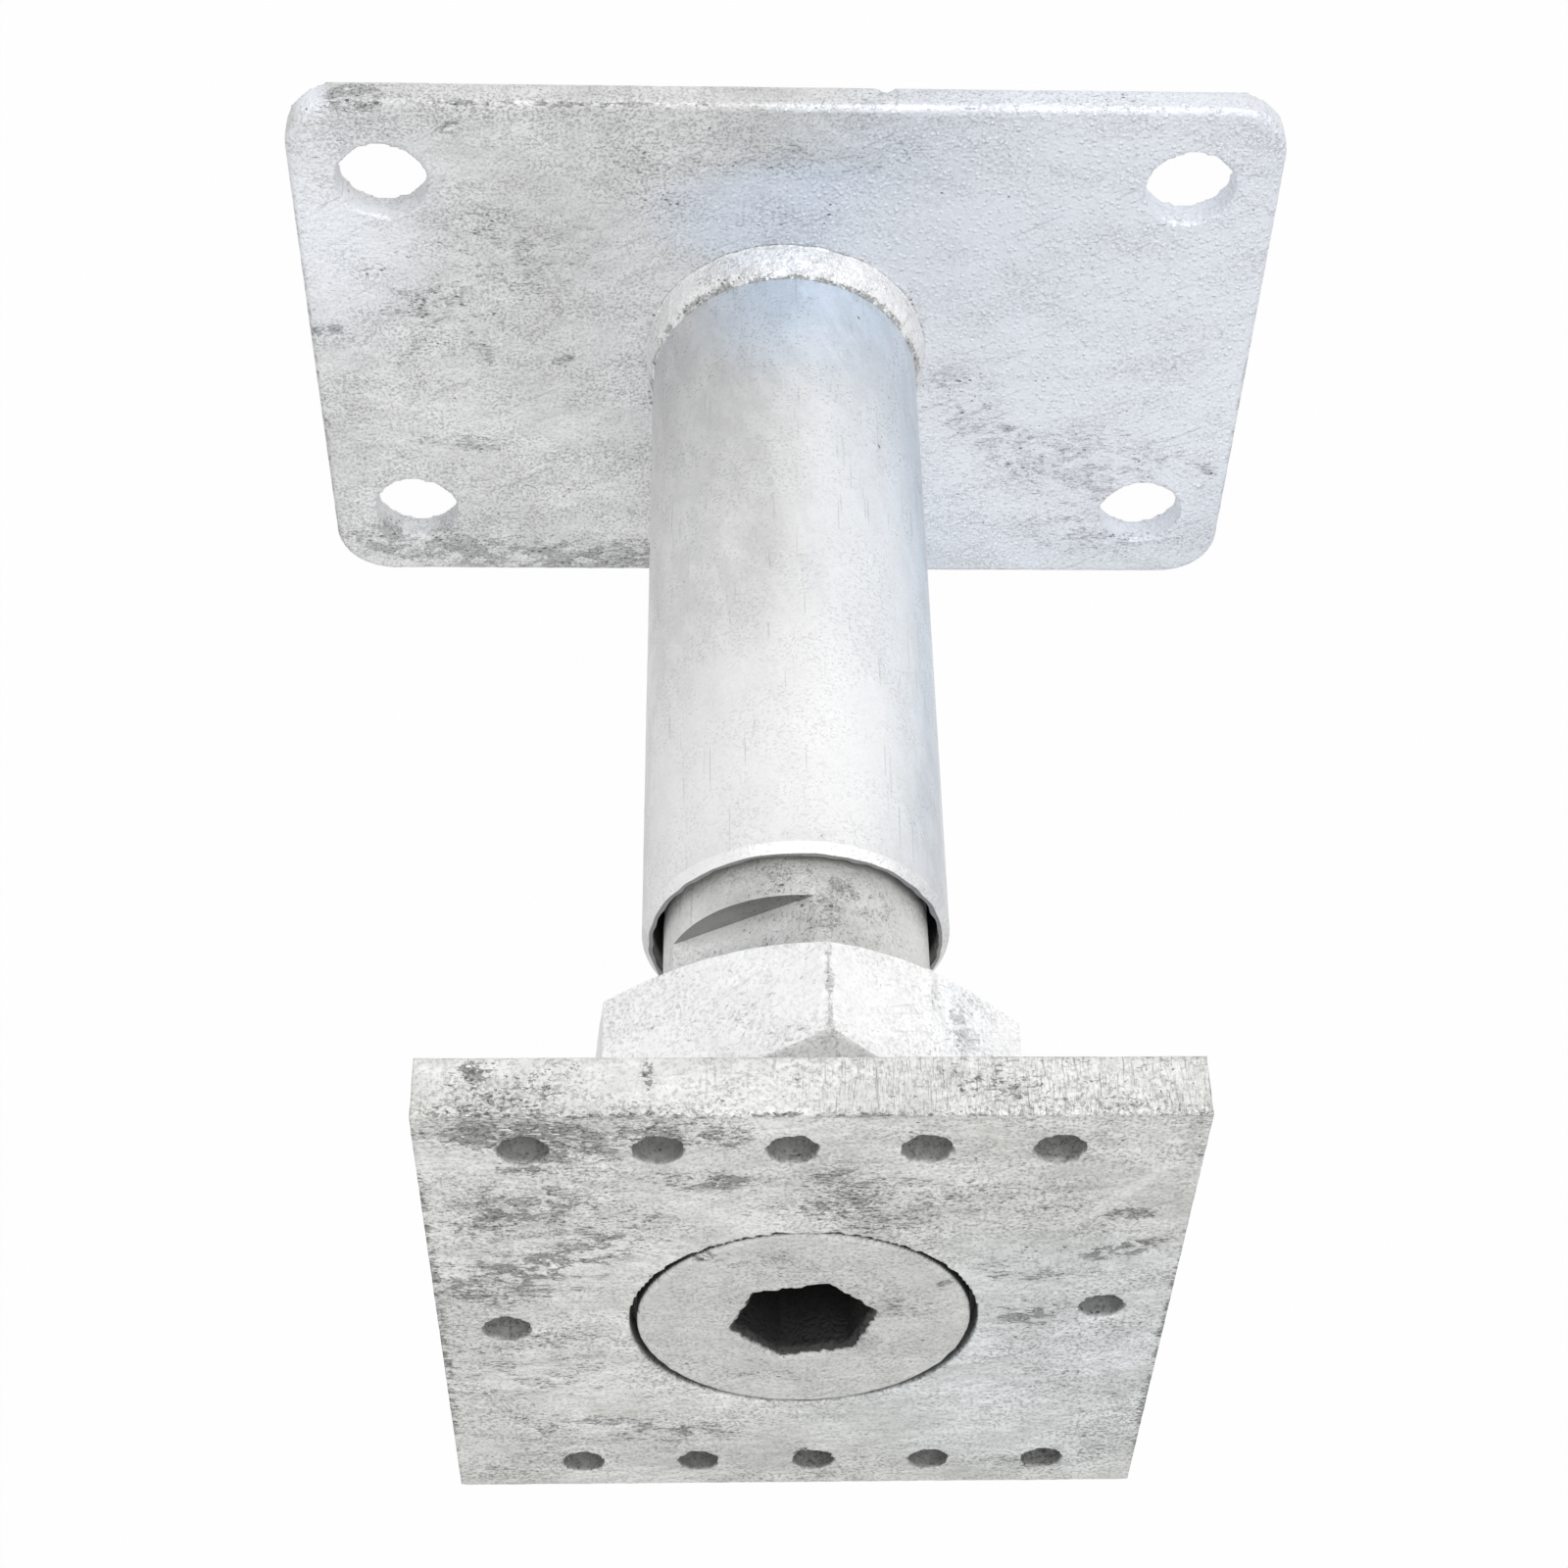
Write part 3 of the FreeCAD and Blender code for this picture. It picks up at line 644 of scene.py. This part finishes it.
weld = {
    "toe": 23.8, "head": 5.4, "bulge": 0.7, "arcPoints": 12, "steps": 300, "spacing": 0.6,
    "root": 0.3, "sunk": 0.25,
    "thickest": -103, "thinner": 0.45, "higher": 0.6, "above": 3.5,
    "waves": [(3.2, 0.45), (1.3, 0.3), (0.6, 0.12)],
    "grime": [{"at": (0, 0, 11.2), "reach": (22.2, 22.2, 1.6), "drum": True, "amount": 2.6, "firm": 2},
              {"at": (0, 0, 8.5), "reach": (22.8, 22.8, 2.4), "drum": True, "amount": 0.6}],
    # painted highlights on both sides of the bead and at its front
    "bright": [{"at": (-22, -10, 7), "reach": (24, 22, 8), "amount": 0.9, "firm": 1.5},
               {"at": (24, -8, 7), "reach": (22, 22, 8), "amount": 1.0, "firm": 1.5},
               {"at": (0, -24, 6), "reach": (16, 4, 3), "amount": 0.2}],
    # painted bluish reflection at the front of the bead
    "cool": [{"at": (0, -24, 7), "reach": (22, 6, 5), "amount": 0.6}],
    "drops": [{"at": (0, 0, 7), "reach": (30, 30, 8), "amount": 0.7}],
    "look": {**zinc, "pale": grey(0.78), "deep": grey(0.66), "clouds": (5, 5, 5), "patches": (1.6, 1.6, 1.6),
             "patchDepth": 0.08, "peelSize": 0.9, "peel": 0.9, "dashes": (0.5, 0.5, 0.5), "dashDepth": 0.8,
             "dropSize": (1, 1, 1), "grainDepth": 0.14, "reflectionTint": grey(1.0, (0.9, 0.96, 1.04)),
             "roughness": 0.34},
}


def makeWeld():
    foot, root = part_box("weld_bead")[0].z / mm, tube["outer"]
    width, height = weld["toe"] - root, weld["head"]
    chord = math.hypot(width, height)
    inside = root - weld["root"]
    profile = [(inside, foot - weld["sunk"]), (weld["toe"], foot - weld["sunk"])]
    for step in range(weld["arcPoints"] + 1):
        share = step / weld["arcPoints"]
        bulge = weld["bulge"] * math.sin(math.pi * share)
        profile.append((weld["toe"] - width * share + bulge * height / chord,
                        foot + height * share + bulge * width / chord))
    profile.append((inside, foot + height))
    bm = spun(profile, weld["steps"], weld["spacing"])
    for vertex in bm.verts:
        # thick at the front, and thinner but higher away from it
        across = math.hypot(vertex.co.x, vertex.co.y)
        away = 0.5 - 0.5 * math.cos(math.atan2(vertex.co.y, vertex.co.x) - math.radians(weld["thickest"]))
        beyond = max(0, across - root * mm) * weld["thinner"] * min(1, 2 * away)
        vertex.co.xy *= (across - beyond) / across
        vertex.co.z += (vertex.co.z - foot * mm) * weld["higher"] * away
    piece = newPiece("weldBeadCoat", bm)
    stained(piece, weld)
    roughened(piece, "weld_bead", weld)
    placed(piece, "base", "weld_bead", galvanised("weldZinc", weld["look"]))


# spindle: a disc head with a hexagon socket, the plain bar with its two flats, and the thread below

spindle = {
    "grain": 0.32, "headCut": 160, "threadTop": 119,
    "waves": [(7, 0.05), (2, 0.05)],
    "dents": [
        {"at": (12.4, -16.1, 180), "reach": (1.1, 0.8, 1.2), "deep": 0.5},
        {"at": (13.5, -15.4, 180), "reach": (0.8, 0.5, 1.2), "deep": 0.4},
        {"at": (-17, -9.5, 180), "reach": (1.2, 0.5, 1), "turn": 30, "deep": 0.3},
    ],
    "rims": [{"at": (0, 0, 180), "radius": 7.9, "band": 1.7, "lump": 0.7, "height": 0.8},
             {"at": (0, 0, 180), "radius": 20.5, "band": 0.7, "lump": 1.6, "height": 0.2}],
    "grime": [
        {"at": (12.6, -16, 180), "reach": (1.8, 1.1, 1), "amount": 3, "firm": 3},
        {"at": (-17, -9.5, 180), "reach": (1.4, 0.6, 1), "amount": 3, "turn": 30, "firm": 3},
        {"at": (0, 0, 180), "reach": (12, 12, 3), "amount": 0.5},
        {"at": (-13, -4, 180), "reach": (5, 4, 3), "amount": 0.8},
        {"at": (8, -15, 180), "reach": (9, 3, 2), "amount": 0.8, "turn": 15},
        {"at": (6, 12, 180), "reach": (10, 3, 2), "amount": 0.7, "turn": -15},
    ],
    # painted shade in the hexagon socket, darker towards one side, and on the disc's side inside the seat
    "hollow": [
        {"at": (0, 0, 168), "reach": (9.4, 9.4, 11.7), "drum": True, "amount": 0.66, "firm": 8},
        {"at": (-6, 5, 168), "reach": (11, 11, 13), "amount": 0.6, "firm": 2},
        {"at": (0, 0, 175.5), "reach": (22.5, 22.5, 4.2), "drum": True, "amount": 0.95, "firm": 8},
    ],
    "look": {**zinc, "pale": grey(0.55, (1, 1, 0.98)), "deep": grey(0.49, (1, 1, 0.97)), "clouds": (9, 9, 9),
             "patches": (2.2, 1.6, 2.2), "smearAmount": 0.5, "grainDepth": 0.22,
             "dashes": (1.0, 0.35, 0.5), "shadow": grey(0.05), "roughness": 0.5, "peel": 0.4, "turning": 1},
}


def makeSpindleHead():
    piece = newPiece("spindleHead", sliceOf("spindle", spindle["headCut"]))
    dipped(piece, spindle["grain"])
    stained(piece, spindle)
    roughened(piece, "spindle", spindle)
    placed(piece, "spindle", "spindle", galvanised("discZinc", spindle["look"]))


bar = {
    "spacing": 1.2,
    "grime": [
        {"at": (-2, -17, 133), "reach": (22, 10, 12), "amount": 0.6},
        {"at": (-8, -16, 126), "reach": (12, 6, 4), "amount": 0.6},
        {"at": (3, -18, 124), "reach": (14, 6, 3), "amount": 0.5},
        {"at": (0.3, -17.5, 134), "reach": (0.5, 2, 9), "amount": 1.5},
    ],
    # painted highlights on the bar's two sides
    "bright": [{"at": (-14, -12, 128), "reach": (10, 10, 9), "amount": 0.4},
               {"at": (17, -8, 128), "reach": (8, 10, 12), "amount": 0.6, "firm": 1.5}],
    # painted bluish reflection
    "cool": [{"at": (9, -15, 135), "reach": (12, 9, 7), "amount": 0.4}],
    # painted shade on the flat's upward shoulder under the hexagon, and low on the bar inside the tube's
    # mouth
    "hollow": [{"at": (8.4, -14.2, 127.3), "reach": (16, 16, 1), "amount": 0.85, "firm": 4,
                "facing": (0, 0, 1)},
               {"at": (0, 0, 114), "reach": (19, 19, 6), "drum": True, "amount": 0.9, "firm": 3}],
    "look": {**zinc, "pale": grey(0.6, (1, 1, 0.98)), "deep": grey(0.53, (1, 1, 0.97)), "clouds": (7, 7, 7),
             "patches": (2.2, 2.2, 1.6), "smearAmount": 0.5, "grainDepth": 0.12, "dashes": (0.45, 0.45, 0.4),
             "dashDepth": 0.6, "roughness": 0.5, "peel": 0.3},
}


def makeBar():
    bm = sliceOf("spindle", spindle["threadTop"], spindle["headCut"])
    # the flats' shoulders and the bar are cut into short slices, so that the marks have points to sit on
    height = spindle["threadTop"] + bar["spacing"]
    while height < spindle["headCut"]:
        bmesh.ops.bisect_plane(bm, geom=bm.verts[:] + bm.edges[:] + bm.faces[:], plane_co=(0, 0, height * mm),
                               plane_no=(0, 0, 1), dist=weldDistance)
        height += bar["spacing"]
    # faces that meet at a sharp edge get points of their own, so that a mark can stop at the edge
    sharp = [edge for edge in bm.edges if edge.calc_face_angle(0) > math.radians(sharpAngle)]
    bmesh.ops.split_edges(bm, edges=sharp)
    piece = newPiece("spindleBar", bm)
    stained(piece, bar)
    placed(piece, "spindle", "spindle", galvanised("barZinc", bar["look"]))


thread = {
    "pitch": 4, "crest": 18, "root": 15.7, "crestShare": 0.125, "rootShare": 0.25, "steps": 72, "chamfer": 2,
    "spareTurns": 2, "weldDistance": 0.01, "snap": 0.0001,
    "look": {**zinc, "pale": grey(0.55), "deep": grey(0.48), "dashes": (0.8, 0.8, 0.5), "smearAmount": 0.5},
}


def makeThread():
    # one turn's profile swept up a right-hand helix, then cut to length and closed
    foot, top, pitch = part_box("spindle")[0].z / mm, spindle["threadTop"], thread["pitch"]
    flank = (1 - thread["crestShare"] - thread["rootShare"]) / 2
    heights = [0, thread["rootShare"], thread["rootShare"] + flank, 1 - flank, 1]
    radii = [thread["root"], thread["root"], thread["crest"], thread["crest"], thread["root"]]
    bm = bmesh.new()
    start = foot - thread["spareTurns"] * pitch
    profile = [bm.verts.new(Vector((radius, 0, start + share * pitch)) * mm)
               for radius, share in zip(radii, heights)]
    edges = [bm.edges.new(pair) for pair in zip(profile, profile[1:])]
    turns = math.ceil((top - foot) / pitch) + 2 * thread["spareTurns"]
    bmesh.ops.spin(bm, geom=profile + edges, cent=(0, 0, 0), axis=(0, 0, 1),
                   dvec=(0, 0, pitch / thread["steps"] * mm), angle=2 * math.pi * turns,
                   steps=thread["steps"] * turns, use_merge=False, use_duplicate=False)
    bmesh.ops.remove_doubles(bm, verts=bm.verts, dist=thread["weldDistance"] * mm)
    cutBetween(bm, foot, top, thread["snap"] * mm)
    for vertex in bm.verts:
        limit = (thread["crest"] - thread["chamfer"]) * mm + max(0, vertex.co.z - foot * mm)
        across = math.hypot(vertex.co.x, vertex.co.y)
        if across > limit:
            vertex.co.x *= limit / across
            vertex.co.y *= limit / across
    bmesh.ops.recalc_face_normals(bm, faces=bm.faces)
    piece = newPiece("spindleThread", bm)
    piece.data.polygons.foreach_set("use_smooth", [False] * len(piece.data.polygons))
    stained(piece, thread)
    placed(piece, "spindle", "spindle", galvanised("threadZinc", thread["look"]))


# outer hexagon with its collar: the brightest zinc, with a run down one face

hexagon = {
    "cells": 7, "sharpAngle": 40,
    "waves": [(8, 0.08), (2.2, 0.1)],
    "dents": [
        {"at": (-16.5, -22, 145), "reach": (1.1, 3, 5), "turn": -30, "deep": -0.4},
        {"at": (-20.2, -19.5, 149.5), "reach": (1.1, 3, 6), "turn": -30, "deep": -0.4},
        {"at": (-18.6, -20.8, 148), "reach": (1.0, 3, 4), "turn": -30, "deep": 0.4},
        {"at": (-22.6, -18.5, 147), "reach": (1.0, 3, 3), "turn": -30, "deep": 0.3},
        {"at": (-3, -30.6, 147), "reach": (1.2, 1.5, 1.2), "deep": 0.35},
        {"at": (-3, -30.6, 152), "reach": (1.0, 1.5, 1.0), "deep": 0.3},
    ],
    "grime": [
        {"at": (-3, -30.6, 150), "reach": (0.7, 2, 11), "amount": 2.8},
        {"at": (12, -26, 150), "reach": (14, 8, 6), "amount": 0.3},
        {"at": (-22, -19, 149), "reach": (5, 5, 8), "amount": 0.8},
        {"at": (-17.2, -22, 145), "reach": (2.0, 3, 5), "amount": 1.1, "turn": -30},
        {"at": (-20, -20, 149), "reach": (2.2, 3, 6), "amount": 1.2, "turn": -30},
        {"at": (2.4, -29.6, 157.2), "reach": (1.2, 2, 0.8), "amount": 1.8},
        {"at": (0, 0, 141.2), "reach": (32, 32, 0.5), "drum": True, "amount": 1.0, "firm": 3},
        {"at": (-3, -30, 157.6), "reach": (1.6, 3, 2.6), "amount": 1.0},
    ],
    # painted highlight on the front faces
    "bright": [{"at": (0, -26, 148), "reach": (30, 14, 12), "amount": 0.4}],
    # painted bluish reflection by the run
    "cool": [{"at": (-21, -19, 148), "reach": (6, 6, 9), "amount": 0.15}],
    # painted shade on the faces turned up under the head plate
    "hollow": [{"at": (0, 0, 159), "reach": (34, 34, 6), "amount": 0.3, "firm": 3, "facing": (0, 0, 1)}],
    "look": {**zinc, "pale": grey(0.85), "deep": grey(0.8), "clouds": (12, 12, 12), "patchDepth": 0.03,
             "grainDepth": 0.16, "smearAmount": 0.3, "dashDepth": 0.45, "peel": 0.4, "filmAndShade": 0.04,
             "dashes": (0.9, 0.9, 0.45), "pitSize": 0.12, "scratches": (9, 9, 0.5), "scratchTurn": (0, 28, 0),
             "scratchDepth": 0.12},
}


def makeHexagon():
    piece = newPiece("hexCollarCoat", mergedCopy("hex_collar"))
    dipped(piece, cells=hexagon["cells"])
    stained(piece, hexagon)
    roughened(piece, "hex_collar", hexagon)
    crisp(piece, hexagon["sharpAngle"])
    placed(piece, "spindle", "hex_collar", galvanised("hexagonZinc", hexagon["look"]))


# head plate: beige-grey and smeared on top, with ragged screw holes and sheared edges

headPlate = {
    "grain": 0.5,
    "waves": [(7, 0.08), (2.2, 0.1)],
    "dents": [
        {"at": (-37.5, -25, 180), "reach": (1.2, 0.8, 1), "deep": 0.4},
        {"at": (-41, -17, 180), "reach": (3, 1.2, 1), "turn": 20, "deep": 0.3},
        {"at": (-0.6, 34.3, 180), "reach": (2.2, 0.5, 1), "turn": 35, "deep": 0.4},
    ],
    "closedGap": {"inner": 20.7, "outer": 22, "hem": 0.6, "floor": 176.5,
                  "from": 0.72, "to": 0.93, "by": 0.5},
    "filled": {"front": 0.25, "rear": 0.55, "left": 0.45, "right": 0.2},
    "grime": [
        {"at": (30, -42.5, 180), "reach": (17, 4, 4), "amount": 1.2},
        {"at": (37.6, -46.7, 173.7), "reach": (2.6, 3, 2.2), "amount": 1.5},
        {"at": (14, -42, 180), "reach": (9, 3, 3), "amount": 1.2},
        {"at": (12, -33, 180), "reach": (9, 3, 3), "amount": 1.5, "turn": -5},
        {"at": (26, -39, 180), "reach": (8, 4, 3), "amount": 1.1},
        {"at": (33, -35.6, 180), "reach": (4, 1.6, 3), "amount": 1.8},
        {"at": (34, -26, 180), "reach": (13, 8, 3), "amount": 0.9, "turn": 25},
        {"at": (26, -17, 180), "reach": (13, 5, 3), "amount": 1.0, "turn": 25},
        {"at": (36, -11, 180), "reach": (14, 8, 3), "amount": 1.2},
        {"at": (-8, -33, 180), "reach": (12, 3, 3), "amount": 0.7, "turn": -5},
        {"at": (-4, -27, 180), "reach": (20, 4, 3), "amount": 0.5},
        {"at": (-38, -25, 180), "reach": (4, 2, 3), "amount": 1.6},
        {"at": (-38, -17, 180), "reach": (7, 2.4, 3), "amount": 1.8, "turn": 20},
        {"at": (-26, -12, 180), "reach": (7, 4, 3), "amount": 1.0},
        {"at": (-28, -2, 180), "reach": (7, 5, 3), "amount": 1.2},
        {"at": (20, 28, 180), "reach": (18, 4, 3), "amount": 1.0, "turn": -8},
        {"at": (34, 12, 180), "reach": (14, 10, 3), "amount": 0.7},
        {"at": (-0.6, 34.3, 180), "reach": (2.4, 0.6, 1), "amount": 3, "turn": 35},
        # painted shade along the back edge
        {"at": (0, 45, 180), "reach": (45, 1.8, 3), "amount": 1.0},
        {"at": (18.6, -46.7, 175), "reach": (0.7, 3, 4), "amount": 2.0},
        {"at": (10, -46.7, 180), "reach": (40, 0.8, 0.6), "amount": 0.8, "firm": 2},
        # painted shade along the side and back edges, which face away from the lamps
        {"at": (45, 0, 180), "reach": (1.2, 46, 1.5), "amount": 1.4},
        {"at": (-45, 10, 180), "reach": (1.0, 36, 1.5), "amount": 1.2},
        {"at": (0, 44.8, 179), "reach": (46, 1.0, 1.2), "amount": 1.6},
    ],
    # lighter streaks on the top, and painted highlight along the front face
    "bright": [
        {"at": (25, -26, 180), "reach": (7, 5, 2), "amount": 0.3},
        {"at": (8, -25, 180), "reach": (12, 3, 2), "amount": 0.35, "turn": -12},
        {"at": (30, -14, 180), "reach": (14, 2, 2), "amount": 0.3, "turn": 25},
        {"at": (-36, -29, 180), "reach": (1.2, 16, 2), "turn": -38, "amount": 0.4},
        {"at": (0, -48, 175), "reach": (70, 3.5, 5), "amount": 0.3, "firm": 2},
    ],
    # painted bluish reflection over the -X half of the top
    "cool": [{"at": (-30, 10, 180), "reach": (40, 40, 10), "amount": 0.25}],
    # painted shade in the seat's gap round the disc, over the back of the top and on a patch at the front
    "hollow": [{"at": (0, 0, 177), "reach": (22, 22, 2.7), "drum": True, "amount": 0.9, "firm": 6},
               {"at": (0, 42, 180), "reach": (60, 20, 4), "amount": 0.17},
               {"at": (-32, -22, 180), "reach": (18, 16, 3), "amount": 0.17}],
    "drops": [{"at": (-20, -47, 176), "reach": (40, 2, 5), "amount": 0.3}],
    "ribs": [{"at": (-28, -47, 176), "reach": (34, 2, 8), "amount": 1, "firm": 3}],
    "rim": {"band": 1.6, "lump": 1.1, "height": 0.3},
    "holeMiddle": 175.4, "holeWall": {"reach": (4, 4, 4.4), "drum": True, "amount": 0.55, "firm": 4},
    "look": {**zinc, "pale": grey(0.6, (1, 1, 0.97)), "deep": grey(0.51, (1, 1, 0.96)),
             "clouds": (16, 10, 10), "patches": (2.6, 1.0, 1.6), "patchDepth": 0.09, "smearAmount": 0.8,
             "dashes": (1.2, 0.36, 0.5), "dashGain": 0.15, "dashMost": 0.24, "dashHeight": 1.4,
             "dashDepth": 0.95, "grainDepth": 0.3, "peel": 0.6, "flecks": 1.0, "ribHeight": 2.0,
             "roughness": 0.5},
}


def makeHeadPlate():
    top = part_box("head_plate")[1].z / mm
    rims = []
    for side, filled in headPlate["filled"].items():
        rims += [{"at": (*place, top), "radius": radius, "filled": filled, **headPlate["rim"]}
                 for place, radius in holesIn(side)]
    middle = headPlate["holeMiddle"]
    inHoles = [{"at": (*rim["at"][:2], middle), **headPlate["holeWall"]} for rim in rims]
    piece = newPiece("headPlateCoat", mergedCopy("head_plate"))
    dipped(piece, headPlate["grain"])
    # the screw holes get painted shade
    stained(piece, {**headPlate, "hollow": inHoles + headPlate["hollow"]})
    roughened(piece, "head_plate", {**headPlate, "rims": rims})
    closeGap(piece)
    placed(piece, "head", "head_plate", galvanised("headPlateZinc", headPlate["look"]))


def closeGap(piece):
    # zinc fills the seat's gap round the disc head at the front and the back, all but a hairline
    gap = headPlate["closedGap"]
    places = pointsOf(piece)
    radius = np.hypot(places[:, 0], places[:, 1]) / mm
    wall = (radius > gap["inner"]) & (radius < gap["outer"]) & (places[:, 2] > gap["floor"] * mm)
    share = np.clip((np.abs(places[:, 1]) / mm / radius - gap["from"]) / (gap["to"] - gap["from"]), 0, 1)
    hem = np.clip((gap["outer"] - radius) / gap["hem"], 0, 1)
    nearer = 1 - wall * share * gap["by"] * hem / radius
    places[:, :2] *= nearer[:, None]
    piece.data.vertices.foreach_set("co", places.astype(np.float32).ravel())
    piece.data.update()


makeBasePlate()
makeTube()
makeWeld()
makeSpindleHead()
makeBar()
makeThread()
makeHexagon()
makeHeadPlate()


# camera, floor and light

camera = {"place": (11.10, -325.41, 361.24), "lens": 68.09, "across": -3.204, "down": 39.367,
          "roll": 178.041, "shift": -0.0375, "sensor": 36, "nearest": 10}


def makeCamera():
    data = bpy.data.cameras.new("camera")
    data.lens = camera["lens"]
    data.sensor_width = camera["sensor"]
    data.shift_x = camera["shift"]
    data.clip_start = camera["nearest"] * mm
    view = bpy.data.objects.new("camera", data)
    turn = Matrix.Rotation(math.radians(-camera["across"]), 4, "Z")
    turn = turn @ Matrix.Rotation(math.radians(90 - camera["down"]), 4, "X")
    turn = turn @ Matrix.Rotation(math.radians(camera["roll"]), 4, "Z")
    view.matrix_world = Matrix.Translation(Vector(camera["place"]) * mm) @ turn
    bpy.context.scene.collection.objects.link(view)
    bpy.context.scene.camera = view


lamps = {
    "front": {"place": (-350, -1300, 550), "size": 1100, "power": 11, "colour": (1.0, 1.0, 1.0)},
    "above": {"place": (300, 300, 1500), "size": 1200, "power": 5, "colour": (0.97, 0.99, 1.0)},
}


def makeLamps(target):
    for name, lamp in lamps.items():
        data = bpy.data.lights.new(name, "AREA")
        data.shape = "DISK"
        data.size = lamp["size"] * mm
        data.energy = lamp["power"]
        data.color = lamp["colour"]
        light = bpy.data.objects.new(name, data)
        place = Vector(lamp["place"]) * mm
        aim = (target - place).to_track_quat("-Z", "Y").to_matrix().to_4x4()
        light.matrix_world = Matrix.Translation(place) @ aim
        bpy.context.scene.collection.objects.link(light)


studio = {"ambient": 0.5, "floorSize": 6000, "floorWhite": 0.97, "floorColour": grey(0.9)}


def seenDirectly(tree):
    # 1 for rays from the camera and for reflections, 0 for light that reaches the object
    path = addNode(tree, "ShaderNodeLightPath").outputs
    either = maths(tree, "MAXIMUM", path["Is Camera Ray"], path["Is Glossy Ray"])
    return maths(tree, "MAXIMUM", either, path["Is Transmission Ray"])


def makeStudio():
    world = bpy.data.worlds.new("studio")
    world.use_nodes = True
    tree = world.node_tree
    tree.nodes.clear()
    strength = fade(tree, seenDirectly(tree), 0.0, 1.0, studio["ambient"], 1.0)
    sky = addNode(tree, "ShaderNodeBackground", {"Color": grey(1.0), "Strength": strength})
    output = addNode(tree, "ShaderNodeOutputWorld")
    tree.links.new(sky.outputs[0], output.inputs["Surface"])
    bpy.context.scene.world = world

    bm = bmesh.new()
    bmesh.ops.create_grid(bm, x_segments=1, y_segments=1, size=studio["floorSize"] / 2 * mm)
    floor = newPiece("floor", bm)
    material = bpy.data.materials.new("floor")
    material.use_nodes = True
    tree = material.node_tree
    tree.nodes.clear()
    lit = addNode(tree, "ShaderNodeBsdfDiffuse", {"Color": studio["floorColour"]})
    white = addNode(tree, "ShaderNodeEmission", {"Color": grey(1.0), "Strength": 1.0})
    share = maths(tree, "MULTIPLY", seenDirectly(tree), studio["floorWhite"])
    surface = addNode(tree, "ShaderNodeMixShader", {0: share, 1: lit.outputs[0], 2: white.outputs[0]})
    output = addNode(tree, "ShaderNodeOutputMaterial")
    tree.links.new(surface.outputs[0], output.inputs["Surface"])
    floor.data.materials.append(material)


makeCamera()
makeLamps((cadBox[0] + cadBox[1]) / 2)
makeStudio()
bpy.context.scene.view_settings.view_transform = "Standard"
print("camera, floor and lamps placed")
